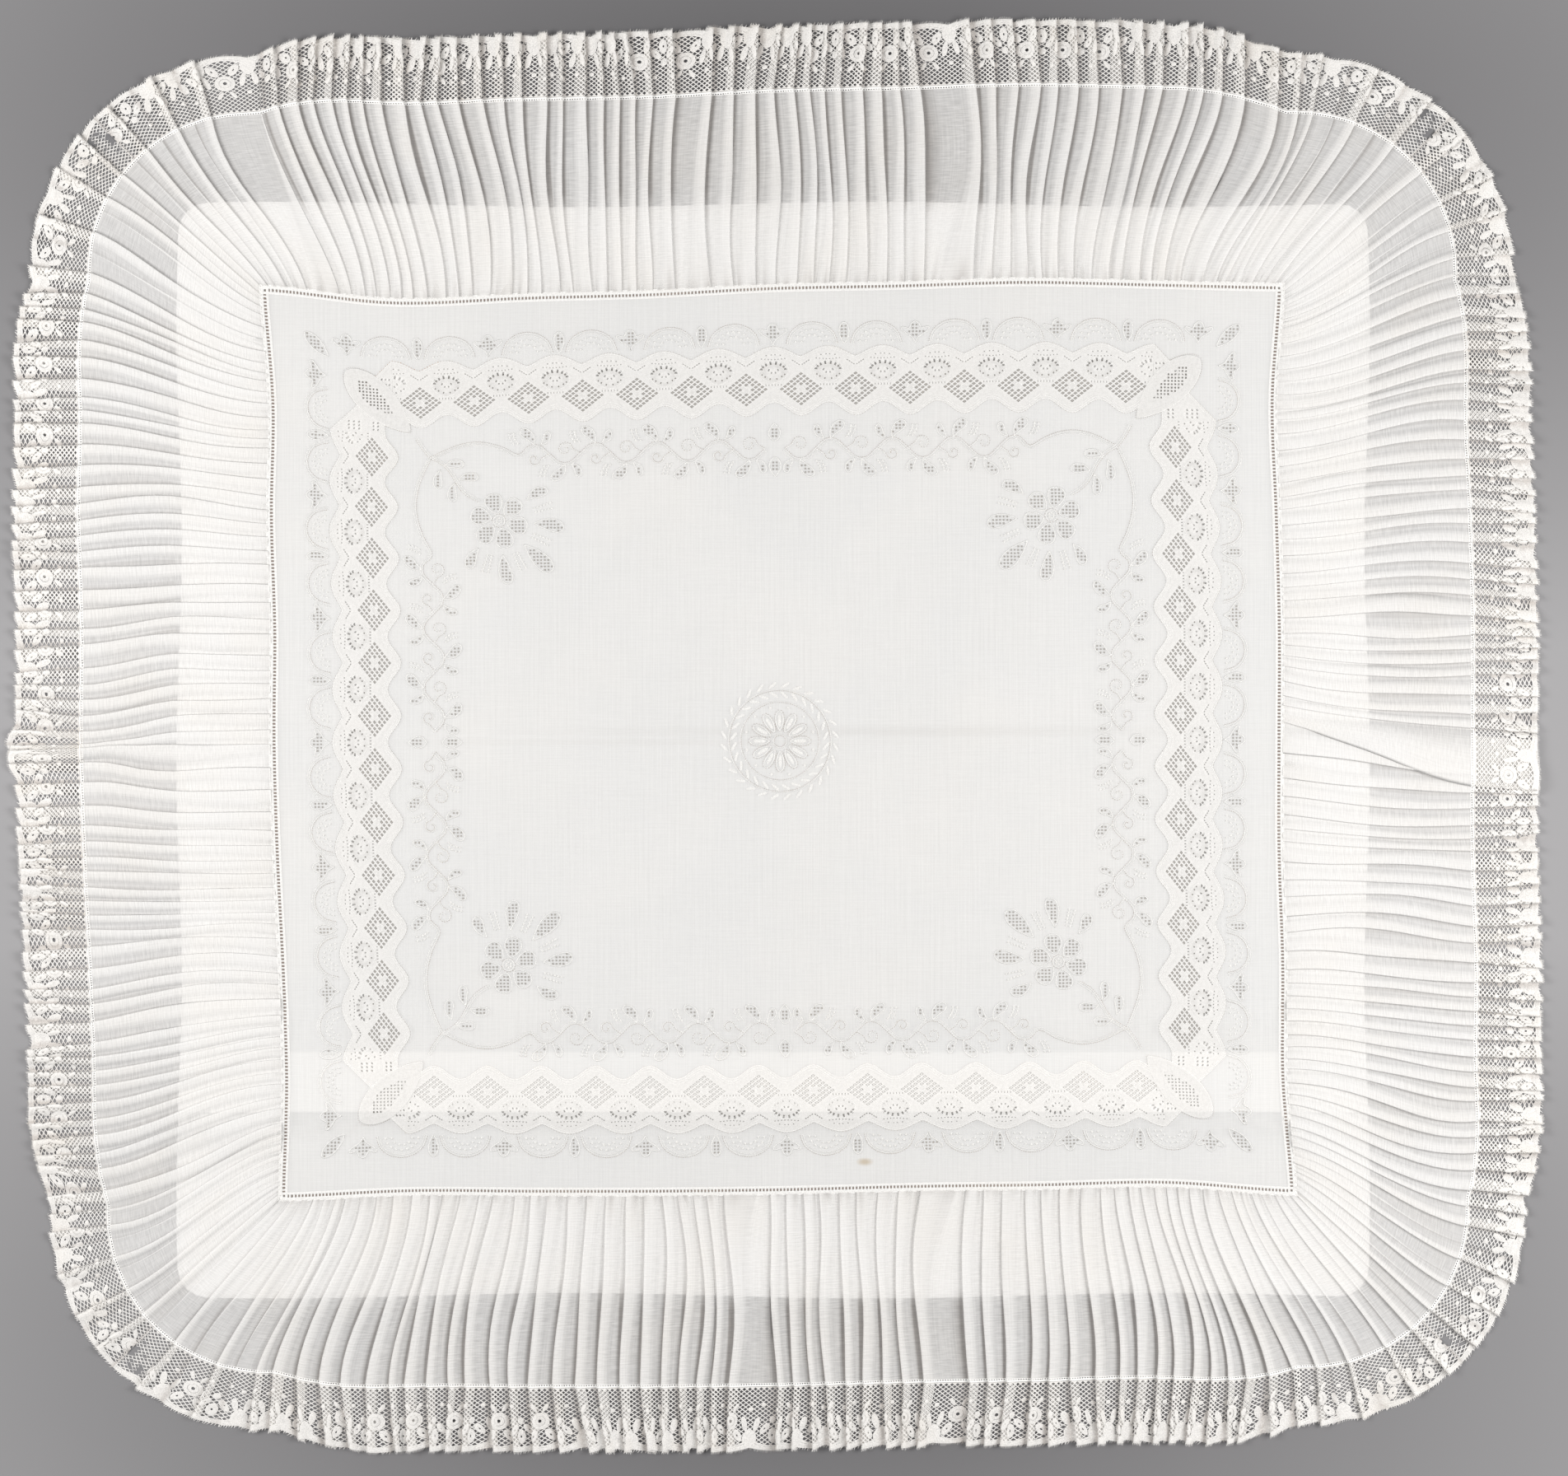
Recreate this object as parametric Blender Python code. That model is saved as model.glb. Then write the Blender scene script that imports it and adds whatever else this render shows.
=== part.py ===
"""A frilled lace handkerchief, lying flat over its own backing cloth.

A lawn panel with a mitred lace insertion is joined by a ladder-work beading to a finely
pleated frill, and the frill is edged with gathered lace. Under them lie the two pieces of
the backing cloth, the upper one lapped over the lower. Everything is laid out flat, with
+Z up, and rests on z = 0.

Sizes are in millimetres. Plan positions are first worked out on a true rectangle, and
settle() then moves them to where the cloth really lies, with its uneven corners and edges.
"""

import math
import random

import bmesh
import bpy
from mathutils import Matrix, Vector

MM = 0.001
SEED = 7

# The hemstitched line round the panel, as a true rectangle about the origin.
HALF_W = 165.6
HALF_H = 148.2

# Cloth sheets and the small space kept between two pieces.
SHEET = 1.0
GAP = 0.3
LIFT = SHEET + GAP

# Outward distances from the hemstitched line. Inward ones are negative.
BEADING_INNER = -0.8
BEADING_OUTER = 2.4
GROUND_EDGE = BEADING_INNER - GAP
SEAM = BEADING_OUTER + GAP

# Backing cloth: its own rectangle, which isn't quite square to the panel's.
BACK_WEST = -196.4
BACK_EAST = 192.0
BACK_NORTH = 176.0
BACK_SOUTH = -181.4
BACK_CORNER = 9.0
BACK_SEGMENTS = 26
LAP_TOP = -101.4
LAP_BOTTOM = -121.5
LAP_RISE = 6.0
EDGE_CLEARANCE = 2.0

# The frill: its depth at the corners, how its folds close up towards the corners, and the
# height of a fold over the single layer beside it.
CORNER_DEPTH = 55.2
CORNER_SWELL = 1.3
CORNER_REACH = 38.0
CROWDING = 2.7
FOLD_CREST = 0.86
SEAM_FOLD = 0.9
FRILL_FOLD = (1.3, 2.0)
LACE_FOLD = (1.3, 2.4)
LACE_DEPTH = 20.0
LACE_CORNER_DEPTH = 17.4
LACE_UNEVEN = 1.3
CORNER_PARTING = 0.25

# The insertion's two waved edges, as distances inside the hemstitched line.
SCALLOP_NEAR = 19.3
SCALLOP_FAR = 22.6
WAVE_NEAR = 37.0
WAVE_FAR = 41.4
MITRE_NEAR = 30.0
WAVE_STEPS = 4
EDGE_GAP = 0.36

# Corner leaves: an almond on each corner's diagonal.
LEAF_START = 26.0
LEAF_LENGTH = 28.5
LEAF_WIDTH = 13.6
LEAF_STEPS = 9

BEADING_STEPS = 32

# Where the panel's corners lie, away from the true rectangle.
CORNER_SHIFT = (
    {"east": -1, "north": 1, "dx": -3.2, "dy": -0.2},
    {"east": 1, "north": 1, "dx": -2.0, "dy": 0.3},
    {"east": 1, "north": -1, "dx": 2.1, "dy": 1.0},
    {"east": -1, "north": -1, "dx": 3.1, "dy": -0.8},
)

# How far each edge bows outwards, at nine even places going clockwise.
EDGE_BOW = {
    "top": (0.0, -3.8, -2.7, -2.0, 0.0, 0.8, 1.9, 1.0, 0.0),
    "right": (0.0, -2.9, -2.1, -1.6, -2.2, -2.7, -2.0, -2.6, 0.0),
    "bottom": (0.0, -3.0, -2.4, -2.1, -1.3, -1.0, -1.2, -1.6, 0.0),
    "left": (0.0, -1.9, -1.4, -0.3, 0.0, -1.0, -0.7, -2.0, 0.0),
}

# A place where the panel has slipped a little towards its middle.
SLIP = {"x": -115.0, "y": 118.0, "across": 45.0, "down": 30.0, "move": 2.0}

# The four sides, clockwise. "half" is half the side's length and "reach" its distance from
# the middle. "depth" is the frill's depth at mid-side. "diamonds" counts the insertion's
# openwork diamonds, one every "pitch".
LONG_SIDE = {"half": HALF_W, "reach": HALF_H, "pleats": 62, "diamonds": 14, "pitch": 17.9}
SHORT_SIDE = {"half": HALF_H, "reach": HALF_W, "pleats": 70, "diamonds": 12, "pitch": 17.4}
SIDES = (
    {"side": "top", "depth": 62.5, **LONG_SIDE},
    {"side": "right", "depth": 61.2, **SHORT_SIDE},
    {"side": "bottom", "depth": 61.6, **LONG_SIDE},
    {"side": "left", "depth": 61.0, **SHORT_SIDE},
)

# Folds that are much wider than the rest, placed along the side, clockwise from its middle.
WIDE_PLEATS = (
    {"side": "top", "place": -176.0, "width": 17.0},
    {"side": "top", "place": -15.0, "width": 12.0},
    {"side": "top", "place": 62.0, "width": 19.0},
    {"side": "top", "place": 163.0, "width": 11.0},
    {"side": "right", "place": 12.0, "width": 14.0},
    {"side": "bottom", "place": -43.0, "width": 15.5},
    {"side": "bottom", "place": 17.0, "width": 17.0},
    {"side": "left", "place": -1.0, "width": 14.0},
)

CLOTHS = {
    "backing": {"colour": (0.86, 0.85, 0.83), "roughness": 0.9},
    "lawn": {"colour": (0.84, 0.84, 0.83), "roughness": 0.9},
    "lace": {"colour": (0.87, 0.86, 0.83), "roughness": 0.92},
    "batiste": {"colour": (0.85, 0.84, 0.82), "roughness": 0.88},
}


def from_side(side, along, out):
    """Turn a place along and out from one side into plan x and y."""
    if side == "top":
        return along, out
    if side == "right":
        return out, -along
    if side == "bottom":
        return -along, -out
    return -out, along


def along_table(values, share):
    """Read a table of evenly spaced values at a share of its length, smoothly."""
    spans = len(values) - 1
    place = min(max(share, 0.0), 1.0) * spans
    index = min(int(place), spans - 1)
    t = place - index
    before = values[max(index - 1, 0)]
    start = values[index]
    end = values[index + 1]
    after = values[min(index + 2, spans)]
    bend = 2.0 * before - 5.0 * start + 4.0 * end - after
    twist = 3.0 * start - before - 3.0 * end + after
    return start + 0.5 * t * (end - before + t * (bend + t * twist))


def settle(x, y):
    """Move a plan point of the true rectangle to where the cloth lies."""
    u = min(max(x / HALF_W, -1.0), 1.0)
    v = min(max(y / HALF_H, -1.0), 1.0)
    move_x = 0.0
    move_y = 0.0
    for corner in CORNER_SHIFT:
        weight = 0.25 * (1.0 + corner["east"] * u) * (1.0 + corner["north"] * v)
        move_x += weight * corner["dx"]
        move_y += weight * corner["dy"]
    move_y += max(v, 0.0) ** 2 * along_table(EDGE_BOW["top"], 0.5 + 0.5 * u)
    move_x += max(u, 0.0) ** 2 * along_table(EDGE_BOW["right"], 0.5 - 0.5 * v)
    move_y -= max(-v, 0.0) ** 2 * along_table(EDGE_BOW["bottom"], 0.5 - 0.5 * u)
    move_x -= max(-u, 0.0) ** 2 * along_table(EDGE_BOW["left"], 0.5 + 0.5 * v)
    across = (x - SLIP["x"]) / SLIP["across"]
    down = (y - SLIP["y"]) / SLIP["down"]
    move_y -= SLIP["move"] * math.exp(-across * across - down * down)
    return x + move_x, y + move_y


def laid(side, along, out):
    """Plan point where the cloth lies, from a place along and out from one side."""
    return settle(*from_side(side, along, out))


def ridge(y, upper_foot, upper_crown, lower_crown, lower_foot):
    """Return 1 between two crowns and 0 outside two feet, with straight slopes."""
    if y > upper_crown:
        return min(max((upper_foot - y) / (upper_foot - upper_crown), 0.0), 1.0)
    return min(max((y - lower_foot) / (lower_crown - lower_foot), 0.0), 1.0)


PANEL_RIDGE = (
    LAP_TOP + 2.25 + 2.0 * LAP_RISE,
    LAP_TOP + 2.25 + LAP_RISE,
    LAP_BOTTOM - EDGE_CLEARANCE,
    LAP_BOTTOM - EDGE_CLEARANCE - LAP_RISE,
)
FRILL_RIDGE = (-82.0, -90.0, -128.0, -136.0)
BACK_SLOPE = (LAP_TOP + 2.25 + LAP_RISE, LAP_TOP + 2.25)


def panel_base(y):
    """Height of the panel's underside, which climbs over the backing's lap."""
    return LIFT + LIFT * ridge(y, *PANEL_RIDGE)


def back_base(y):
    """Height of the upper backing's underside, which climbs on to the lower one."""
    foot, crown = BACK_SLOPE
    return LIFT * min(max((foot - y) / (foot - crown), 0.0), 1.0)


def new_object(name, bm, cloth):
    """Make a named object of one cloth from a bmesh."""
    bmesh.ops.recalc_face_normals(bm, faces=bm.faces)
    mesh = bpy.data.meshes.new(name)
    bm.to_mesh(mesh)
    bm.free()
    obj = bpy.data.objects.new(name, mesh)
    obj.data.materials.append(cloth_material(cloth))
    bpy.data.collections["lace_handkerchief"].objects.link(obj)
    return obj


def cloth_material(cloth):
    """Return the material of one kind of cloth, made on first use."""
    material = bpy.data.materials.get(cloth)
    if material is None:
        material = bpy.data.materials.new(cloth)
        material.use_nodes = True
        shader = material.node_tree.nodes["Principled BSDF"]
        shader.inputs["Base Color"].default_value = (*CLOTHS[cloth]["colour"], 1.0)
        shader.inputs["Roughness"].default_value = CLOTHS[cloth]["roughness"]
        shader.inputs["Metallic"].default_value = 0.0
    return material


def cut_sheet(name, outlines, base, creases, cloth):
    """Cut a flat sheet to its outlines, crease it, and lay it at its height.

    The first outline is the sheet's edge and any others are holes in it, all where the
    cloth lies. base(y) gives the height of the underside, straight between the creases.
    """
    curve = bpy.data.curves.new(name, "CURVE")
    curve.dimensions = "2D"
    curve.fill_mode = "BOTH"
    curve.extrude = 0.5 * SHEET * MM
    for outline in outlines:
        spline = curve.splines.new("POLY")
        spline.points.add(len(outline) - 1)
        spline.use_cyclic_u = True
        for point, (x, y) in zip(spline.points, outline):
            point.co = (x * MM, y * MM, 0.0, 1.0)
    pattern = bpy.data.objects.new(name + "_pattern", curve)
    bpy.context.scene.collection.objects.link(pattern)
    evaluated = pattern.evaluated_get(bpy.context.evaluated_depsgraph_get())
    mesh = bpy.data.meshes.new_from_object(evaluated)
    bpy.data.objects.remove(pattern)
    bm = bmesh.new()
    bm.from_mesh(mesh)
    bpy.data.meshes.remove(mesh)
    bmesh.ops.remove_doubles(bm, verts=bm.verts, dist=1e-6)
    for crease in creases:
        bmesh.ops.bisect_plane(
            bm,
            geom=bm.verts[:] + bm.edges[:] + bm.faces[:],
            dist=1e-5,
            plane_co=(0.0, crease * MM, 0.0),
            plane_no=(0.0, 1.0, 0.0),
        )
    for vert in bm.verts:
        x, y = vert.co.x / MM, vert.co.y / MM
        height = base(y) + (SHEET if vert.co.z > 0.0 else 0.0)
        vert.co = (x * MM, y * MM, height * MM)
    return new_object(name, bm, cloth)


def side_values(steps, low, high):
    """Even values from low to high, both included."""
    return [low + (high - low) * index / steps for index in range(steps + 1)]


def straight_ring(out):
    """Outline that runs round the panel at one distance from the hemstitched line."""
    outline = []
    for side in SIDES:
        half = side["half"] + out
        for along in side_values(BEADING_STEPS, -half, half)[:-1]:
            outline.append(laid(side["side"], along, side["reach"] + out))
    return outline


def wave_shape(side, along, edge):
    """Distance inside the hemstitched line of the insertion's outer or inner edge."""
    pitch = side["pitch"]
    worked = 0.5 * side["diamonds"] * pitch
    turn = math.pi * along / pitch
    if edge == "inner":
        if abs(along) > worked:
            return WAVE_NEAR
        return 0.5 * (WAVE_NEAR + WAVE_FAR) - 0.5 * (WAVE_FAR - WAVE_NEAR) * math.cos(2.0 * turn)
    if abs(along) > worked:
        return SCALLOP_NEAR + abs(along) - worked
    return SCALLOP_FAR - (SCALLOP_FAR - SCALLOP_NEAR) * abs(math.cos(turn))


def wave_line(side, edge, shift):
    """Points of one waved edge of a side's insertion, from mitre to mitre.

    shift moves the line inwards. It is half a gap for the insertion's own edge and half a
    gap the other way for its neighbour's.
    """
    worked = 0.5 * side["diamonds"] * side["pitch"]
    steps = WAVE_STEPS * side["diamonds"]
    places = side_values(steps, -worked, worked)
    points = [(along, wave_shape(side, along, edge)) for along in places]
    if edge == "outer":
        mitre = side["half"] - MITRE_NEAR
        points = [(-mitre, MITRE_NEAR)] + points + [(mitre, MITRE_NEAR)]
    else:
        mitre = side["half"] - WAVE_NEAR
        points = [(-mitre, WAVE_NEAR)] + points[1:-1] + [(mitre, WAVE_NEAR)]
    first, last = points[0], points[-1]
    inner = [(along, inside + shift) for along, inside in points[1:-1]]
    first = (first[0] + shift, first[1] + shift)
    last = (last[0] - shift, last[1] + shift)
    return [first] + inner + [last]


def wave_ring(edge, shift):
    """Closed outline of a waved edge round all four sides."""
    outline = []
    for side in SIDES:
        for along, inside in wave_line(side, edge, shift)[:-1]:
            outline.append(laid(side["side"], along, side["reach"] - inside))
    return outline


def build_panel():
    """The lawn ground, the insertion's four lengths and the corner leaves."""
    half_gap = 0.5 * EDGE_GAP
    cut_sheet(
        "panel_border",
        (straight_ring(GROUND_EDGE), wave_ring("outer", -half_gap)),
        panel_base,
        PANEL_RIDGE,
        "lawn",
    )
    cut_sheet("panel_field", (wave_ring("inner", half_gap),), panel_base, PANEL_RIDGE, "lawn")
    for side in SIDES:
        outline = []
        for along, inside in wave_line(side, "outer", half_gap):
            pull = half_gap if abs(inside - MITRE_NEAR - half_gap) < 1e-6 else 0.0
            along -= math.copysign(pull * 1.5, along)
            outline.append(laid(side["side"], along, side["reach"] - inside))
        for along, inside in reversed(wave_line(side, "inner", -half_gap)):
            pull = half_gap if abs(abs(along) - side["half"] + WAVE_NEAR - half_gap) < 1e-6 else 0.0
            along -= math.copysign(pull * 1.5, along)
            outline.append(laid(side["side"], along, side["reach"] - inside))
        cut_sheet("insertion_" + side["side"], (outline,), panel_base, PANEL_RIDGE, "lace")
    for name, east, north in (
        ("top_left", -1, 1),
        ("top_right", 1, 1),
        ("bottom_right", 1, -1),
        ("bottom_left", -1, -1),
    ):
        cut_sheet(
            "corner_leaf_" + name,
            (leaf_outline(east, north),),
            lambda y: panel_base(y) + LIFT,
            PANEL_RIDGE,
            "lace",
        )


def leaf_outline(east, north):
    """Almond on a corner's diagonal, round at its outer end and drawn to a point inwards."""
    slope = math.sqrt(0.5)
    outline = []
    stations = side_values(2 * LEAF_STEPS, -1.0, 1.0)
    for station in stations[:-1]:
        share = abs(station)
        length = LEAF_LENGTH * (1.0 - math.cos(math.pi * share)) * 0.5
        swell = math.sin(math.pi * share) ** 0.9 * (1.0 - 0.35 * (share - 0.5))
        width = math.copysign(0.5 * LEAF_WIDTH * swell, station)
        inside = LEAF_START + length * slope
        x = east * (HALF_W - inside - width * slope)
        y = north * (HALF_H - inside + width * slope)
        outline.append(settle(x, y))
    return outline


def build_beading():
    """Four lengths of ladder-work strip, mitred at the corners."""
    mitre_gap = 0.5 * GAP
    for side in SIDES:
        outline = []
        for out, order in ((BEADING_OUTER, 1), (BEADING_INNER, -1)):
            half = side["half"] + out - mitre_gap
            places = side_values(BEADING_STEPS, -half, half)
            line = [(along, side["reach"] + out) for along in places]
            outline += [laid(side["side"], *point) for point in line[::order]]
        cut_sheet("beading_" + side["side"], (outline,), panel_base, PANEL_RIDGE, "lace")


def back_unevenness(x, y):
    """How far the backing's edge wanders outwards near a place on it."""
    return 0.9 * math.sin(x / 31.0 + 0.6) + 0.9 * math.sin(y / 23.0 + 1.9)


def back_outline():
    """The backing's edge: a rectangle with rounded corners and an uneven edge."""
    corners = []
    for east, north, start in ((1, 1, 0.0), (0, 1, 0.5), (0, 0, 1.0), (1, 0, 1.5)):
        centre_x = BACK_EAST - BACK_CORNER if east else BACK_WEST + BACK_CORNER
        centre_y = BACK_NORTH - BACK_CORNER if north else BACK_SOUTH + BACK_CORNER
        for step in range(5):
            angle = math.pi * (start + 0.125 * step)
            way = (math.cos(angle), math.sin(angle))
            corners.append(((centre_x + BACK_CORNER * way[0], centre_y + BACK_CORNER * way[1]), way))
    outline = []
    for index, ((x, y), way) in enumerate(corners):
        (next_x, next_y), next_way = corners[(index + 1) % len(corners)]
        steps = BACK_SEGMENTS if math.hypot(next_x - x, next_y - y) > 4.0 * BACK_CORNER else 1
        for step in range(steps):
            share = step / steps
            place_x = x + share * (next_x - x)
            place_y = y + share * (next_y - y)
            wander = back_unevenness(place_x, place_y)
            outline.append((place_x + wander * way[0], place_y + wander * way[1]))
    return outline


def beyond_back(x, y):
    """Signed distance of a laid point outside the backing's edge."""
    wander = back_unevenness(x, y)
    past_x = max(x - BACK_EAST, BACK_WEST - x) - wander + BACK_CORNER
    past_y = max(y - BACK_NORTH, BACK_SOUTH - y) - wander + BACK_CORNER
    outside = math.hypot(max(past_x, 0.0), max(past_y, 0.0))
    return outside + min(max(past_x, past_y), 0.0) - BACK_CORNER


def clip_outline(outline, level, keep_above):
    """Keep the part of a closed outline above or below a level of y."""
    kept = []
    for index, (x, y) in enumerate(outline):
        before_x, before_y = outline[index - 1]
        inside = (y > level) == keep_above
        was_inside = (before_y > level) == keep_above
        if inside != was_inside:
            share = (level - before_y) / (y - before_y)
            kept.append((before_x + share * (x - before_x), level))
        if inside:
            kept.append((x, y))
    return kept


def build_backing():
    """The backing cloth's lower piece, and its upper piece lapped over it."""
    outline = back_outline()
    cut_sheet("back_lower", (clip_outline(outline, LAP_TOP, False),), lambda y: 0.0, (), "backing")
    cut_sheet(
        "back_upper",
        (clip_outline(outline, LAP_BOTTOM, True),),
        back_base,
        BACK_SLOPE,
        "backing",
    )


def arc_length():
    """Length of the heading line round half a corner."""
    return 0.25 * math.pi * (CORNER_DEPTH + 0.5 * CORNER_SWELL)


def pleat_edges(side, rng):
    """Places of the pleats' edges along the heading line, clockwise from mid-side."""
    half = side["half"] + SEAM + arc_length()
    count = side["pleats"]
    widths = [rng.uniform(0.72, 1.28) for _ in range(count)]
    fixed = {}
    for wide in WIDE_PLEATS:
        if wide["side"] == side["side"]:
            index = int((wide["place"] + half) / (2.0 * half) * count)
            fixed[index] = wide["width"]
    free = sum(width for index, width in enumerate(widths) if index not in fixed)
    scale = (2.0 * half - sum(fixed.values())) / free
    edges = [-half]
    for index, width in enumerate(widths):
        edges.append(edges[-1] + fixed.get(index, width * scale))
    return edges


def corner_share(side, along):
    """How far a place on the heading line has turned corner: 0 mid-side, 1 on the arc."""
    straight = side["half"] + SEAM
    return min(max(1.0 - (straight - abs(along)) / CORNER_REACH, 0.0), 1.0) ** 2


def heading_point(side, along, beyond):
    """Place on the heading line, or a distance beyond it, along and out from the side."""
    straight = side["half"] + SEAM
    out = side["reach"] + SEAM
    if abs(along) <= straight:
        fall = (side["depth"] - CORNER_DEPTH) * corner_share(side, along)
        return along, out + side["depth"] - fall + beyond
    angle = 0.25 * math.pi * (abs(along) - straight) / arc_length()
    depth = CORNER_DEPTH + CORNER_SWELL * math.sin(2.0 * angle) + beyond
    return (
        math.copysign(straight + depth * math.sin(angle), along),
        out + depth * math.cos(angle),
    )


def parting(side, along):
    """Small move that keeps two neighbouring lengths apart at a corner's diagonal."""
    half = side["half"] + SEAM + arc_length()
    pull = CORNER_PARTING * (along / half) ** 2 * math.sqrt(0.5)
    return -math.copysign(pull, along), pull


def frill_point(side, along, share):
    """Place on the frill, from its seam at share 0 to the heading line at share 1."""
    half = side["half"] + SEAM + arc_length()
    reach = abs(along) / half
    start = along - math.copysign(arc_length() * reach**CROWDING, along)
    seam_out = side["reach"] + SEAM
    end, end_out = heading_point(side, along, 0.0)
    sway = share * share * (3.0 - 2.0 * share) - share
    lead = share + sway * (1.0 - reach**4)
    move_along, move_out = parting(side, along)
    return (
        start + (end - start) * lead + move_along,
        seam_out + (end_out - seam_out) * share + move_out,
    )


def past_backing_share(side, along):
    """Share of the frill's depth at which a fold has just cleared the backing's edge."""
    low, high = 0.0, 1.0
    for _ in range(20):
        middle = 0.5 * (low + high)
        x, y = laid(side["side"], *frill_point(side, along, middle))
        if beyond_back(x, y) < EDGE_CLEARANCE:
            low = middle
        else:
            high = middle
    return high


def pleated_slab(name, lines, cloth):
    """Build a pleated length from its fold lines.

    Each line is a list of points (x, y, underside, top), from the seam outwards. Even lines
    lie in the valleys and odd ones on the folds, and the underside is straight from valley
    to valley.
    """
    columns = len(lines)
    rows = len(lines[0])
    bm = bmesh.new()
    bmesh.ops.create_grid(bm, x_segments=columns - 1, y_segments=rows - 1, size=0.5)
    extruded = bmesh.ops.extrude_face_region(bm, geom=bm.faces[:])["geom"]
    upper = {item for item in extruded if isinstance(item, bmesh.types.BMVert)}
    column_of = {}
    for vert in bm.verts:
        column = round((vert.co.x + 0.5) * (columns - 1))
        row = round((vert.co.y + 0.5) * (rows - 1))
        column_of[vert] = column
        x, y, underside, top = lines[column][row]
        vert.co = (x * MM, y * MM, (top if vert in upper else underside) * MM)
    spare = [
        edge
        for edge in bm.edges
        if column_of[edge.verts[0]] == column_of[edge.verts[1]]
        and column_of[edge.verts[0]] % 2 == 1
        and not (edge.verts[0] in upper and edge.verts[1] in upper)
    ]
    bmesh.ops.dissolve_edges(bm, edges=spare, use_verts=True)
    return new_object(name, bm, cloth)


def fold_places(edges, rng):
    """Places of valleys and fold crests in turn, with each fold's own two random draws."""
    places = [(edges[0], 0.0, rng.random())]
    for start, end in zip(edges, edges[1:]):
        places.append((start + FOLD_CREST * (end - start), 1.0, rng.random()))
        places.append((end, 0.0, rng.random()))
    return places


def build_frill():
    """The frill's four pleated lengths and the gathered lace beyond its heading line."""
    rng = random.Random(SEED)
    for side in SIDES:
        edges = pleat_edges(side, rng)
        frill_lines = []
        lace_lines = []
        half = edges[-1]
        for along, fold, chance in fold_places(edges, rng):
            frill_fold = fold * (FRILL_FOLD[0] + chance * (FRILL_FOLD[1] - FRILL_FOLD[0]))
            lace_fold = fold * (LACE_FOLD[0] + chance * (LACE_FOLD[1] - LACE_FOLD[0]))
            line = []
            cleared = past_backing_share(side, along)
            for share, rise in ((0.0, fold * SEAM_FOLD), (cleared, frill_fold), (1.0, frill_fold)):
                x, y = laid(side["side"], *frill_point(side, along, share))
                base = 0.0 if share == 1.0 else LIFT + LIFT * ridge(y, *FRILL_RIDGE)
                line.append((x, y, base, base + SHEET + rise))
            frill_lines.append(line)
            uneven = LACE_UNEVEN * (2.0 * chance - 1.0) * (abs(along) < half)
            fall = (LACE_DEPTH - LACE_CORNER_DEPTH) * corner_share(side, along)
            depth = LACE_DEPTH - fall + uneven
            line = []
            for beyond, rise in ((GAP, frill_fold), (GAP + depth, lace_fold)):
                place, out = heading_point(side, along, beyond)
                move_along, move_out = parting(side, along)
                x, y = laid(side["side"], place + move_along, out + move_out)
                line.append((x, y, 0.0, SHEET + rise))
            lace_lines.append(line)
        pleated_slab("frill_" + side["side"], frill_lines, "batiste")
        pleated_slab("edging_" + side["side"], lace_lines, "lace")


def centre_on_origin(objects):
    """Move everything so that the whole lies on z = 0, centred over the origin."""
    points = [vert.co for obj in objects for vert in obj.data.vertices]
    low = Vector([min(point[axis] for point in points) for axis in range(3)])
    high = Vector([max(point[axis] for point in points) for axis in range(3)])
    move = Vector((-0.5 * (low.x + high.x), -0.5 * (low.y + high.y), -low.z))
    for obj in objects:
        obj.data.transform(Matrix.Translation(move))


def main():
    """Build every piece of the handkerchief."""
    for obj in list(bpy.data.objects):
        bpy.data.objects.remove(obj)
    collection = bpy.data.collections.new("lace_handkerchief")
    bpy.context.scene.collection.children.link(collection)
    build_backing()
    build_panel()
    build_beading()
    build_frill()
    centre_on_origin(list(collection.objects))


main()
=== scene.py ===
"""Looks of a frilled lace handkerchief that lies flat over its own backing cloth.

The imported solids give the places. Each cloth solid is replaced here by its real cloth: sheer
knife-pleated batiste, bobbin lace with open net, a lawn panel with openwork and padded
whitework, and the plain backing. Working sizes are in millimetres on the plan of the solids,
and Plan.to_frame() turns them into the frame's metres.
"""

from __future__ import annotations

import logging
import math
import random
from bisect import bisect_right
from dataclasses import dataclass, field
from enum import Enum
from typing import Callable, Sequence

import bmesh
import bpy
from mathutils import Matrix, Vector
from mathutils.geometry import delaunay_2d_cdt

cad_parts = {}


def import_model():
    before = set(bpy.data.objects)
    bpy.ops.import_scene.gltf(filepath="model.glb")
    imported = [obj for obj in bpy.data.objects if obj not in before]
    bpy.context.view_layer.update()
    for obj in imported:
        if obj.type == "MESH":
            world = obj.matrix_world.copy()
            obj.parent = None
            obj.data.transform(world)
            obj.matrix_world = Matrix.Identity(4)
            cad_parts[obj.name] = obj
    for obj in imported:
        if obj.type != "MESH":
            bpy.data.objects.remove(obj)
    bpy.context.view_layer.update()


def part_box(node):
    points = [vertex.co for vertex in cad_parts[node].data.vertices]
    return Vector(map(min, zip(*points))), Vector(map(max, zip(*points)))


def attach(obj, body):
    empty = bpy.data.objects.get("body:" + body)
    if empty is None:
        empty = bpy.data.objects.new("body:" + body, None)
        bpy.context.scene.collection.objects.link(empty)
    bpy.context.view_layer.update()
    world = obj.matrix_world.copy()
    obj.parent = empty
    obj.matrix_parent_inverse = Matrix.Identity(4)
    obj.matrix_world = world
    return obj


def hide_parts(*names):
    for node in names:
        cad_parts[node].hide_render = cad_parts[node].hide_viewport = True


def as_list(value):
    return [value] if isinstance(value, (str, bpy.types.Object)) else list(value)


LOG = logging.getLogger("handkerchief")
MM = 0.001

Point = tuple[float, float]
Outline = list[Point]


# ---------------------------------------------------------------------------
# The plan: where each part of the cloth lies, in millimetres.
# ---------------------------------------------------------------------------


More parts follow.
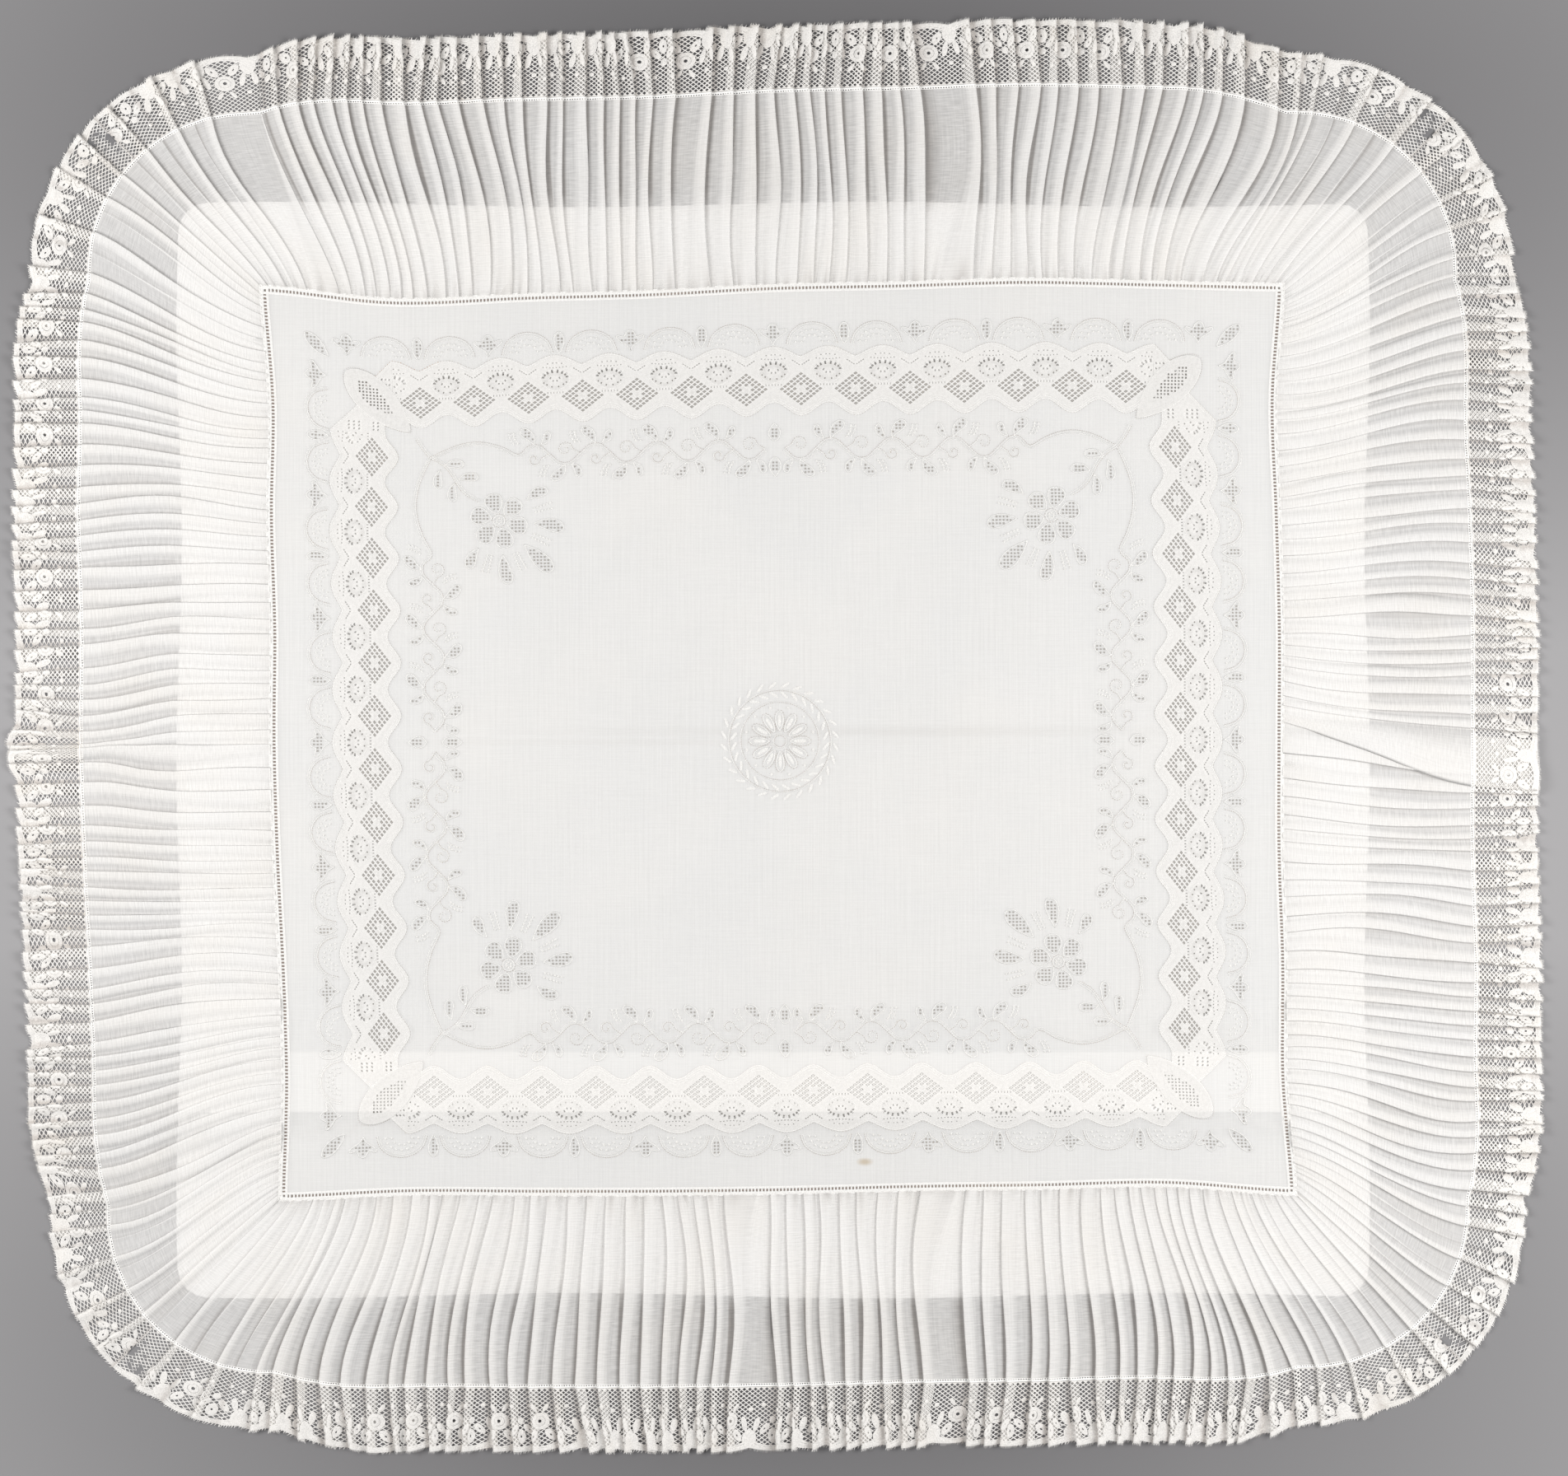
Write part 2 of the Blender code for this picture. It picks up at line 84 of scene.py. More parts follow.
class Side(Enum):
    """The four sides, clockwise, seen from above."""

    TOP = "top"
    RIGHT = "right"
    BOTTOM = "bottom"
    LEFT = "left"

    def plan_point(self, along: float, out: float) -> Point:
        """Turn a place along and out from this side into plan x and y.

        Args:
            along: Distance along the side, clockwise from its middle.
            out: Distance out from the middle of the piece.

        Returns:
            Plan x and y.
        """
        if self is Side.TOP:
            return along, out
        if self is Side.RIGHT:
            return out, -along
        if self is Side.BOTTOM:
            return -along, -out
        return -out, along


@dataclass(frozen=True)
class SideSizes:
    """The lengths of one side.

    half is half the hemstitched line, reach its distance from the middle, depth the frill's
    depth at mid-side, and pitch the length of one diamond of the insertion.
    """

    half: float
    reach: float
    pleats: int
    depth: float
    diamonds: int
    pitch: float


@dataclass
class Plan:
    """The piece as a true rectangle, and how its cloth has settled away from it."""

    half_w: float = 165.6
    half_h: float = 148.2
    seam: float = 2.7
    rolled: float = 1.35
    corner_depth: float = 55.2
    corner_swell: float = 1.3
    corner_reach: float = 38.0
    crowding: float = 2.7
    sheet: float = 1.0
    lift: float = 1.3
    back_west: float = -196.4
    back_east: float = 192.0
    back_north: float = 176.0
    back_south: float = -181.4
    back_corner: float = 9.0
    edge_clearance: float = 2.0
    lap_top: float = -101.4
    lap_bottom: float = -121.5
    lap_rise: float = 6.0
    frill_ridge: tuple[float, ...] = (-82.0, -90.0, -128.0, -136.0)
    corner_shift: tuple[tuple[int, int, float, float], ...] = (
        (-1, 1, -3.2, -0.2),
        (1, 1, -2.0, 0.3),
        (1, -1, 2.1, 1.0),
        (-1, -1, 3.1, -0.8),
    )
    edge_bow: dict[Side, tuple[float, ...]] = field(
        default_factory=lambda: {
            Side.TOP: (0.0, -3.8, -2.7, -2.0, 0.0, 0.8, 1.9, 1.0, 0.0),
            Side.RIGHT: (0.0, -2.9, -2.1, -1.6, -2.2, -2.7, -2.0, -2.6, 0.0),
            Side.BOTTOM: (0.0, -3.0, -2.4, -2.1, -1.3, -1.0, -1.2, -1.6, 0.0),
            Side.LEFT: (0.0, -1.9, -1.4, -0.3, 0.0, -1.0, -0.7, -2.0, 0.0),
        }
    )
    slip: dict[str, float] = field(
        default_factory=lambda: {"x": -115.0, "y": 118.0, "across": 45.0, "down": 30.0, "move": 2.0}
    )
    sizes: dict[Side, SideSizes] = field(default_factory=dict)
    shift: Point = (0.0, 0.0)

    def __post_init__(self) -> None:
        """Work out the four sides' lengths."""
        for side, depth in ((Side.TOP, 62.5), (Side.BOTTOM, 61.6)):
            self.sizes[side] = SideSizes(self.half_w, self.half_h, 62, depth, 14, 17.9)
        for side, depth in ((Side.RIGHT, 61.2), (Side.LEFT, 61.0)):
            self.sizes[side] = SideSizes(self.half_h, self.half_w, 70, depth, 12, 17.4)

    def settle(self, x: float, y: float) -> Point:
        """Move a plan point of the true rectangle to where the cloth lies.

        Args:
            x: Plan x.
            y: Plan y.

        Returns:
            The laid x and y, before the shift of the whole.
        """
        u = min(max(x / self.half_w, -1.0), 1.0)
        v = min(max(y / self.half_h, -1.0), 1.0)
        move_x = 0.0
        move_y = 0.0
        for east, north, dx, dy in self.corner_shift:
            weight = 0.25 * (1.0 + east * u) * (1.0 + north * v)
            move_x += weight * dx
            move_y += weight * dy
        if v > 0.0:
            move_y += v * v * along_table(self.edge_bow[Side.TOP], 0.5 + 0.5 * u)
        else:
            move_y -= v * v * along_table(self.edge_bow[Side.BOTTOM], 0.5 - 0.5 * u)
        if u > 0.0:
            move_x += u * u * along_table(self.edge_bow[Side.RIGHT], 0.5 - 0.5 * v)
        else:
            move_x -= u * u * along_table(self.edge_bow[Side.LEFT], 0.5 + 0.5 * v)
        across = (x - self.slip["x"]) / self.slip["across"]
        down = (y - self.slip["y"]) / self.slip["down"]
        move_y -= self.slip["move"] * math.exp(-across * across - down * down)
        return x + move_x, y + move_y

    def laid(self, side: Side, along: float, out: float) -> Point:
        """Laid x and y of a place along and out from one side."""
        return self.settle(*side.plan_point(along, out))

    def to_frame(self, x: float, y: float, z: float) -> Vector:
        """The frame's point, in metres, of a laid point in millimetres."""
        return Vector(((x + self.shift[0]) * MM, (y + self.shift[1]) * MM, z * MM))

    def panel_base(self, y: float) -> float:
        """Height of the panel's underside at a laid y, which climbs over the backing's lap."""
        return self.lift + self.lift * ridge(y, self.panel_creases())

    def panel_creases(self) -> tuple[float, ...]:
        """Laid y of the lines where the panel's height changes its slope."""
        crown = self.lap_top + 2.25
        low = self.lap_bottom - self.edge_clearance
        return (crown + 2.0 * self.lap_rise, crown + self.lap_rise, low, low - self.lap_rise)

    def frill_base(self, y: float) -> float:
        """Height of the frill's underside at a laid y, over the backing."""
        return self.lift + self.lift * ridge(y, self.frill_ridge)

    def back_wander(self, x: float, y: float) -> float:
        """How far the backing's edge wanders outwards near a place on it."""
        return 0.9 * math.sin(x / 31.0 + 0.6) + 0.9 * math.sin(y / 23.0 + 1.9)

    def beyond_back(self, x: float, y: float) -> float:
        """Signed distance of a laid point outside the backing's edge."""
        wander = self.back_wander(x, y)
        past_x = max(x - self.back_east, self.back_west - x) - wander + self.back_corner
        past_y = max(y - self.back_north, self.back_south - y) - wander + self.back_corner
        outside = math.hypot(max(past_x, 0.0), max(past_y, 0.0))
        return outside + min(max(past_x, past_y), 0.0) - self.back_corner

    def arc_length(self) -> float:
        """Length of the heading line round half a corner."""
        return 0.25 * math.pi * (self.corner_depth + 0.5 * self.corner_swell)

    def heading_half(self, side: Side) -> float:
        """Half the heading line of a side, up to the corner's diagonal."""
        return self.sizes[side].half + self.seam + self.arc_length()

    def corner_share(self, side: Side, along: float) -> float:
        """How far a place on the heading line has turned corner: 0 mid-side, 1 on the arc."""
        straight = self.sizes[side].half + self.seam
        return min(max(1.0 - (straight - abs(along)) / self.corner_reach, 0.0), 1.0) ** 2

    def heading_point(self, side: Side, along: float, beyond: float) -> Point:
        """Place on the heading line, or a distance beyond it.

        Args:
            side: The side.
            along: Distance along the heading line, clockwise from mid-side.
            beyond: Distance out past the heading line.

        Returns:
            The place along and out from the side.
        """
        sizes = self.sizes[side]
        straight = sizes.half + self.seam
        out = sizes.reach + self.seam
        if abs(along) <= straight:
            fall = (sizes.depth - self.corner_depth) * self.corner_share(side, along)
            return along, out + sizes.depth - fall + beyond
        angle = 0.25 * math.pi * (abs(along) - straight) / self.arc_length()
        depth = self.corner_depth + self.corner_swell * math.sin(2.0 * angle) + beyond
        place = straight + depth * math.sin(angle)
        return math.copysign(place, along), out + depth * math.cos(angle)

    def frill_point(self, side: Side, along: float, share: float) -> Point:
        """Place on the frill, from its seam at share 0 to the heading line at share 1.

        Args:
            side: The side.
            along: Place on the heading line where the fold ends.
            share: Share of the frill's depth.

        Returns:
            The place along and out from the side.
        """
        half = self.heading_half(side)
        reach = min(abs(along) / half, 1.0)
        start = along - math.copysign(self.arc_length() * reach**self.crowding, along)
        start *= (self.sizes[side].half + self.rolled) / (self.sizes[side].half + self.seam)
        seam_out = self.sizes[side].reach + self.rolled
        end, end_out = self.heading_point(side, along, 0.0)
        sway = share * share * (3.0 - 2.0 * share) - share
        lead = share + sway * (1.0 - reach**4)
        return start + (end - start) * lead, seam_out + (end_out - seam_out) * share


def along_table(values: Sequence[float], share: float) -> float:
    """Read a table of evenly spaced values at a share of its length, smoothly.

    Args:
        values: The table.
        share: 0 at its first value and 1 at its last.

    Returns:
        The value there.
    """
    spans = len(values) - 1
    place = min(max(share, 0.0), 1.0) * spans
    index = min(int(place), spans - 1)
    t = place - index
    before = values[max(index - 1, 0)]
    start = values[index]
    end = values[index + 1]
    after = values[min(index + 2, spans)]
    bend = 2.0 * before - 5.0 * start + 4.0 * end - after
    twist = 3.0 * start - before - 3.0 * end + after
    return start + 0.5 * t * (end - before + t * (bend + t * twist))


def ridge(y: float, feet: Sequence[float]) -> float:
    """Return 1 between a ridge's two crowns and 0 outside its feet, with straight slopes.

    Args:
        y: The place.
        feet: Upper foot, upper crown, lower crown and lower foot.

    Returns:
        The share of the ridge's height.
    """
    upper_foot, upper_crown, lower_crown, lower_foot = feet
    if y > upper_crown:
        return min(max((upper_foot - y) / (upper_foot - upper_crown), 0.0), 1.0)
    return min(max((y - lower_foot) / (lower_crown - lower_foot), 0.0), 1.0)


def smooth_step(value: float) -> float:
    """Ease from 0 to 1 as value goes from 0 to 1."""
    value = min(max(value, 0.0), 1.0)
    return value * value * (3.0 - 2.0 * value)


# ---------------------------------------------------------------------------
# Hand tools: small wrappers round Blender's modelling operators.
# ---------------------------------------------------------------------------


def deselect_all() -> None:
    """Leave edit mode and deselect every object."""
    if bpy.context.object is not None and bpy.context.object.mode != "OBJECT":
        bpy.ops.object.mode_set(mode="OBJECT")
    bpy.ops.object.select_all(action="DESELECT")


def select_only(*objects: bpy.types.Object) -> None:
    """Select these objects alone, the first one active."""
    deselect_all()
    for obj in objects:
        obj.select_set(True)
    bpy.context.view_layer.objects.active = objects[0]


def flat_grid(name: str, columns: int, rows: int, low: Point, high: Point) -> bpy.types.Object:
    """Add a grid that covers a flat rectangle.

    Args:
        name: The new object's name.
        columns: Faces along the first direction.
        rows: Faces along the second.
        low: The rectangle's lowest corner.
        high: The rectangle's highest corner.

    Returns:
        The grid, its vertices at their own coordinates.
    """
    deselect_all()
    bpy.ops.mesh.primitive_grid_add(x_subdivisions=columns, y_subdivisions=rows, size=1.0)
    obj = bpy.context.object
    obj.name = name
    for vert in obj.data.vertices:
        vert.co.x = low[0] + (vert.co.x + 0.5) * (high[0] - low[0])
        vert.co.y = low[1] + (vert.co.y + 0.5) * (high[1] - low[1])
    return obj


def open_faces(obj: bpy.types.Object, keep_rim: float, chosen: Callable[[Vector], bool]) -> None:
    """Cut a hole through each chosen face and leave a rim of its own width.

    Args:
        obj: The flat piece.
        keep_rim: Width of the rim left round each hole.
        chosen: Says from a face's centre whether it is opened.
    """
    select_only(obj)
    bpy.ops.object.mode_set(mode="EDIT")
    bpy.ops.mesh.select_mode(type="FACE")
    bm = bmesh.from_edit_mesh(obj.data)
    for face in bm.faces:
        face.select_set(chosen(face.calc_center_median()))
    bmesh.update_edit_mesh(obj.data)
    bpy.ops.mesh.inset(thickness=keep_rim, use_individual=True)
    bpy.ops.mesh.delete(type="FACE")
    bpy.ops.object.mode_set(mode="OBJECT")


def cut_faces(obj: bpy.types.Object, chosen: Callable[[Vector], bool]) -> None:
    """Delete each face whose centre is chosen, and what is left loose."""
    select_only(obj)
    bpy.ops.object.mode_set(mode="EDIT")
    bpy.ops.mesh.select_mode(type="FACE")
    bm = bmesh.from_edit_mesh(obj.data)
    for face in bm.faces:
        face.select_set(chosen(face.calc_center_median()))
    bmesh.update_edit_mesh(obj.data)
    bpy.ops.mesh.delete(type="FACE")
    bpy.ops.object.mode_set(mode="OBJECT")


def repeat_along(obj: bpy.types.Object, count: int, step: float) -> None:
    """Repeat a flat piece along its length with an applied Array modifier."""
    select_only(obj)
    array = obj.modifiers.new("repeat", "ARRAY")
    array.use_relative_offset = False
    array.use_constant_offset = True
    array.constant_offset_displace = (step, 0.0, 0.0)
    array.count = count
    bpy.ops.object.modifier_apply(modifier=array.name)


def join_pieces(name: str, objects: Sequence[bpy.types.Object]) -> bpy.types.Object:
    """Join objects into one and name it."""
    select_only(*objects)
    bpy.ops.object.join()
    joined = bpy.context.object
    joined.name = name
    joined.data.name = name
    return joined


def lay_flat_map(obj: bpy.types.Object) -> None:
    """Give each corner of a piece its flat x and y as UV, a metre to a unit."""
    mesh = obj.data
    layer = mesh.uv_layers.active or mesh.uv_layers.new(name="UVMap")
    layer.name = "UVMap"
    for loop in mesh.loops:
        place = mesh.vertices[loop.vertex_index].co
        layer.data[loop.index].uv = (place.x * MM, place.y * MM)


def give_attribute(obj: bpy.types.Object, name: str, values: Sequence[float]) -> None:
    """Give each vertex of a piece a value that its finish reads."""
    obj.data.attributes.new(name, "FLOAT", "POINT").data.foreach_set("value", values)


def smooth_faces(obj: bpy.types.Object) -> None:
    """Shade a piece smooth."""
    select_only(obj)
    bpy.ops.object.shade_smooth()


# ---------------------------------------------------------------------------
# Finishes.
# ---------------------------------------------------------------------------


@dataclass(frozen=True)
class Mark:
    """A soft oval of tone: a real stain of the old cloth, painted shade along a crease, a painted glow over the
    backing's lap or a painted shadow on the floor; its middle, half sizes, tone, strength and softness.
    """

    centre: Point
    size: Point
    tone: tuple[float, float, float]
    strength: float
    edge: float = 0.7


class Weave:
    """A material's node tree, with short calls to add and join its nodes."""

    def __init__(self, name: str) -> None:
        """Start a material with a plain shader.

        Args:
            name: The material's name.
        """
        self.material = bpy.data.materials.new(name)
        self.material.use_nodes = True
        self.tree = self.material.node_tree
        self.shader = self.tree.nodes["Principled BSDF"]

    def node(self, kind: str, **sockets: object) -> bpy.types.Node:
        """Add a node and set or link its input sockets.

        Args:
            kind: The node's type name.
            **sockets: Values or output sockets, by input name with _ for a space.

        Returns:
            The node.
        """
        node = self.tree.nodes.new(kind)
        for name, value in sockets.items():
            self.plug(node.inputs[name.replace("_", " ")], value)
        return node

    def plug(self, socket: bpy.types.NodeSocket, value: object) -> None:
        """Set an input socket to a number, or link an output to it."""
        if isinstance(value, bpy.types.NodeSocket):
            self.tree.links.new(value, socket)
        else:
            socket.default_value = value

    def streaks(self, source: bpy.types.NodeSocket, across: float, down: float, detail: float) -> bpy.types.NodeSocket:
        """Noise stretched to streaks of given lengths.

        Args:
            source: The coordinates, in metres.
            across: Length of a streak along x, in millimetres.
            down: Its length along y.
            detail: The noise's detail.

        Returns:
            The noise's value, about 0.5.
        """
        scale = (1.0 / (across * MM), 1.0 / (down * MM), 400.0)
        mapping = self.node("ShaderNodeMapping", Vector=source, Scale=scale)
        noise = self.node("ShaderNodeTexNoise", Vector=mapping.outputs["Vector"], Scale=1.0, Detail=detail)
        return noise.outputs["Fac"]

    def blend(self, first: object, second: object, share: float) -> bpy.types.NodeSocket:
        """Mix two values by a share of the second."""
        node = self.node("ShaderNodeMix")
        node.data_type = "FLOAT"
        self.plug(node.inputs[0], share)
        self.plug(node.inputs[2], first)
        self.plug(node.inputs[3], second)
        return node.outputs[0]

    def ramp(
        self, value: bpy.types.NodeSocket, low: float, high: float, start: float, end: float
    ) -> bpy.types.NodeSocket:
        """Map a value's range low to high on to start to end, clamped."""
        node = self.node("ShaderNodeMapRange")
        for index, number in enumerate((value, low, high, start, end)):
            self.plug(node.inputs[index], number)
        return node.outputs["Result"]

    def tint(
        self, share: bpy.types.NodeSocket, first: Sequence[float], second: Sequence[float]
    ) -> bpy.types.NodeSocket:
        """Mix two colours by a share."""
        node = self.node("ShaderNodeMix")
        node.data_type = "RGBA"
        self.plug(node.inputs[0], share)
        self.plug(node.inputs[6], (*first, 1.0))
        self.plug(node.inputs[7], (*second, 1.0))
        return node.outputs[2]

    def attribute(self, name: str) -> bpy.types.NodeSocket:
        """Value of one of the piece's own attributes."""
        node = self.node("ShaderNodeAttribute")
        node.attribute_name = name
        return node.outputs["Fac"]

    def times(self, first: object, second: object) -> bpy.types.NodeSocket:
        """Product of two values."""
        node = self.node("ShaderNodeMath")
        node.operation = "MULTIPLY"
        self.plug(node.inputs[0], first)
        self.plug(node.inputs[1], second)
        return node.outputs["Value"]

    def darken(self, colour: bpy.types.NodeSocket, share: object, tone: Sequence[float]) -> bpy.types.NodeSocket:
        """Multiply a colour by a tone, by a share."""
        node = self.node("ShaderNodeMix")
        node.data_type = "RGBA"
        node.blend_type = "MULTIPLY"
        self.plug(node.inputs[0], share)
        self.plug(node.inputs[6], colour)
        self.plug(node.inputs[7], (*tone, 1.0))
        return node.outputs[2]

    def spot(self, place: bpy.types.NodeSocket, mark: Mark) -> bpy.types.NodeSocket:
        """A soft oval that fades from a mark's middle, by Object coordinates."""
        across, down = mark.size
        scale = (1.0 / (across * MM), 1.0 / (down * MM), 0.0)
        shift = (-mark.centre[0] / across, -mark.centre[1] / down, 0.0)
        mapping = self.node("ShaderNodeMapping", Vector=place, Scale=scale, Location=shift)
        fade = self.node("ShaderNodeTexGradient", Vector=mapping.outputs["Vector"])
        fade.gradient_type = "SPHERICAL"
        return self.ramp(fade.outputs["Fac"], 0.0, mark.edge, 0.0, mark.strength)

    def raise_by(self, height: bpy.types.NodeSocket, strength: float, depth: float) -> None:
        """Bump the surface by a height, depth millimetres deep."""
        bump = self.node("ShaderNodeBump", Strength=strength, Distance=depth * MM, Height=height)
        self.plug(self.shader.inputs["Normal"], bump.outputs["Normal"])


@dataclass(frozen=True)
class ClothFinish:
    """A woven white cloth: sheer between its threads, uneven in slubs and threads."""

    name: str
    colour: tuple[float, float, float]
    cast: tuple[float, float, float]
    cover: float
    swing: float
    by_map: bool = True
    slub: tuple[float, float] = (14.0, 0.5)
    cross: tuple[float, float] = (0.5, 18.0)
    cross_share: float = 0.35
    roughness: float = 0.9
    sheen: float = 0.15
    bump: float = 0.5
    # Strength of the painted shade in the pleats' slots, read from the crease attribute.
    painted_crease_shade: float = 0.0
    marks: tuple[Mark, ...] = ()

    def build(self) -> bpy.types.Material:
        """Make the material.

        Returns:
            The cloth's material.
        """
        weave = Weave(self.name)
        places = weave.node("ShaderNodeTexCoord").outputs
        place = places["UV" if self.by_map else "Object"]
        slubs = weave.streaks(place, *self.slub, 2.0)
        across = weave.streaks(place, *self.cross, 2.0)
        cloud = weave.streaks(place, 38.0, 30.0, 3.0)
        threads = weave.blend(slubs, across, self.cross_share)
        low, high = self.cover - self.swing, self.cover + self.swing
        cover = weave.ramp(threads, 0.34, 0.66, low, high)
        colour = weave.tint(weave.ramp(cloud, 0.4, 0.72, 0.0, 1.0), self.colour, self.cast)
        # Painted shade in the pleats' slots, by the crease attribute, and less cover where a layer ends under the
        # others.
        if self.painted_crease_shade:
            cover = weave.times(cover, weave.attribute("hidden"))
            colour = weave.darken(colour, weave.times(weave.attribute("crease"), self.painted_crease_shade), (0.36, 0.33, 0.31))
        for mark in self.marks:
            colour = weave.darken(colour, weave.spot(places["Object"], mark), mark.tone)
        weave.plug(weave.shader.inputs["Alpha"], cover)
        weave.plug(weave.shader.inputs["Base Color"], colour)
        weave.shader.inputs["Roughness"].default_value = self.roughness
        weave.shader.inputs["Specular IOR Level"].default_value = 0.2
        weave.shader.inputs["Sheen Weight"].default_value = self.sheen
        weave.raise_by(threads, self.bump, 0.08)
        return weave.material


@dataclass(frozen=True)
class ThreadFinish:
    """White cotton thread of lace and stitching, a little uneven; also the dark pads of painted shade under holes."""

    name: str
    colour: tuple[float, float, float]
    cast: tuple[float, float, float]
    cover: float = 1.0
    roughness: float = 0.85
    # Strength of the painted shade in the lace's pleat slots, read from the crease attribute.
    painted_crease_shade: float = 0.0
    marks: tuple[Mark, ...] = ()

    def build(self) -> bpy.types.Material:
        """Make the material.

        Returns:
            The thread's material.
        """
        weave = Weave(self.name)
        place = weave.node("ShaderNodeTexCoord").outputs["Object"]
        fibres = weave.streaks(place, 0.35, 0.35, 3.0)
        cloud = weave.streaks(place, 24.0, 24.0, 2.0)
        shade = weave.ramp(cloud, 0.52, 0.75, 0.0, 1.0)
        colour = weave.tint(shade, self.colour, self.cast)
        # Painted shade in the lace's pleat slots, by the crease attribute.
        if self.painted_crease_shade:
            colour = weave.darken(colour, weave.times(weave.attribute("crease"), self.painted_crease_shade), (0.42, 0.37, 0.34))
        for mark in self.marks:
            colour = weave.darken(colour, weave.spot(place, mark), mark.tone)
        weave.plug(weave.shader.inputs["Base Color"], colour)
        if self.cover < 1.0:
            cover = weave.ramp(fibres, 0.35, 0.65, self.cover - 0.12, min(self.cover + 0.12, 1.0))
            weave.plug(weave.shader.inputs["Alpha"], cover)
        weave.shader.inputs["Roughness"].default_value = self.roughness
        weave.shader.inputs["Specular IOR Level"].default_value = 0.2
        weave.shader.inputs["Sheen Weight"].default_value = 0.1
        weave.raise_by(fibres, 0.6, 0.1)
        return weave.material


WHITE = (0.985, 0.98, 0.97)
WARM = (0.98, 0.965, 0.94)
COOL = (0.852, 0.856, 0.852)
LINEN = (0.882, 0.882, 0.874)

# The band where the backing lies double. The marks below paint light there: lighter lawn, insertion and thread, and
# lighter painted shade in the needle holes and openings.
LAP = ((0.0, -113.3), (2000.0, 10.05))
PAINTED_LAP_GLOW = Mark(*LAP, (1.085, 1.08, 1.075), 1.0, 0.07)
PAINTED_LAP_LIGHT = Mark(*LAP, (1.9, 1.95, 2.0), 1.0, 0.07)
# The lawn's marks: the painted glow over the lap, painted shade along two crease lines across the middle, and three
# real brown stains.
STAINS_PAINTED_SHADE_AND_GLOW = (
    PAINTED_LAP_GLOW,
    Mark((35.4, 1.4), (138.0, 2.6), (0.93, 0.925, 0.92), 0.9, 0.9),
    Mark((-40.0, -2.2), (120.0, 1.6), (0.96, 0.955, 0.95), 0.8, 0.9),
    Mark((28.7, -139.6), (3.1, 1.5), (0.72, 0.6, 0.44), 0.9),
    Mark((-22.6, -112.6), (2.4, 1.6), (0.86, 0.79, 0.68), 0.6),
    Mark((30.1, -112.6), (2.0, 1.4), (0.86, 0.79, 0.68), 0.6),
)

BATISTE = ClothFinish("batiste_sheer", WHITE, WARM, cover=0.57, swing=0.09, slub=(4.5, 0.45), bump=0.2, painted_crease_shade=1.0)
LAWN = ClothFinish(
    "lawn_sheer", COOL, LINEN, cover=0.64, swing=0.045, slub=(9.0, 0.4), cross=(0.45, 26.0),
    cross_share=0.62, by_map=False, bump=0.2, marks=STAINS_PAINTED_SHADE_AND_GLOW,
)
COTTON = ClothFinish(
    "backing_cotton", WHITE, WARM, cover=0.82, swing=0.04, slub=(9.0, 0.7), cross=(0.7, 9.0),
    cross_share=0.5, by_map=False,
)
INSERTION = ClothFinish(
    "insertion_cloth", (0.875, 0.868, 0.852), (0.89, 0.88, 0.862), cover=0.76, swing=0.07,
    slub=(1.2, 0.5), cross=(0.5, 1.2), cross_share=0.5, by_map=False, marks=(PAINTED_LAP_GLOW,),
)
LACE = ThreadFinish("lace_thread", (0.94, 0.925, 0.90), (0.91, 0.88, 0.835), cover=0.84, painted_crease_shade=0.6)
CORD = ThreadFinish("cord_thread", (0.98, 0.975, 0.96), (0.97, 0.95, 0.92))
SEAM = ThreadFinish("seam_cloth", (0.91, 0.905, 0.89), (0.90, 0.885, 0.86), cover=0.9)
WHITEWORK = ThreadFinish("whitework_thread", (0.925, 0.92, 0.905), (0.91, 0.90, 0.875), cover=0.9, marks=(PAINTED_LAP_GLOW,))
SATIN = ThreadFinish("satin_stitch", (0.925, 0.92, 0.90), (0.90, 0.885, 0.86), cover=0.85, roughness=0.6)
# Dark discs and pads of painted shade: in the needle holes, under the openwork's and the insertion's holes, and under
# the seam's ladder.
NEEDLE_HOLE_SHADE = ThreadFinish(
    "needle_hole", (0.50, 0.46, 0.43), (0.57, 0.52, 0.47), marks=(Mark(*LAP, (1.5, 1.55, 1.6), 1.0, 0.07),)
)
SHADE = ThreadFinish("openwork_shade", (0.40, 0.385, 0.365), (0.44, 0.415, 0.385), marks=(PAINTED_LAP_LIGHT,))
LADDER_SHADE = ThreadFinish("seam_hole_shade", (0.27, 0.225, 0.20), (0.40, 0.34, 0.30))
RUST = ThreadFinish("rusted_stitch", (0.45, 0.23, 0.11), (0.55, 0.33, 0.19))


# ---------------------------------------------------------------------------
# Pleats: one side's knife pleats, which the frill and its lace edging share.
# ---------------------------------------------------------------------------


class Layer(Enum):
    """The layers that a knife pleat's cloth passes through."""

    SINGLE = 0
    TOP = 1
    UNDER = 2
    BOTTOM = 3


@dataclass(frozen=True)
class FoldStop:
    """A place on a pleat's section.

    single is the share of the single-layer stretch before the fold and band the share of
    the folded band. rise is the share of the fold's height, crease how deep in painted shade
    the place lies, and hidden what is left of its cover where a layer ends under the others.
    """

    layer: Layer
    single: float
    band: float
    rise: float
    crease: float = 0.0
    hidden: float = 1.0


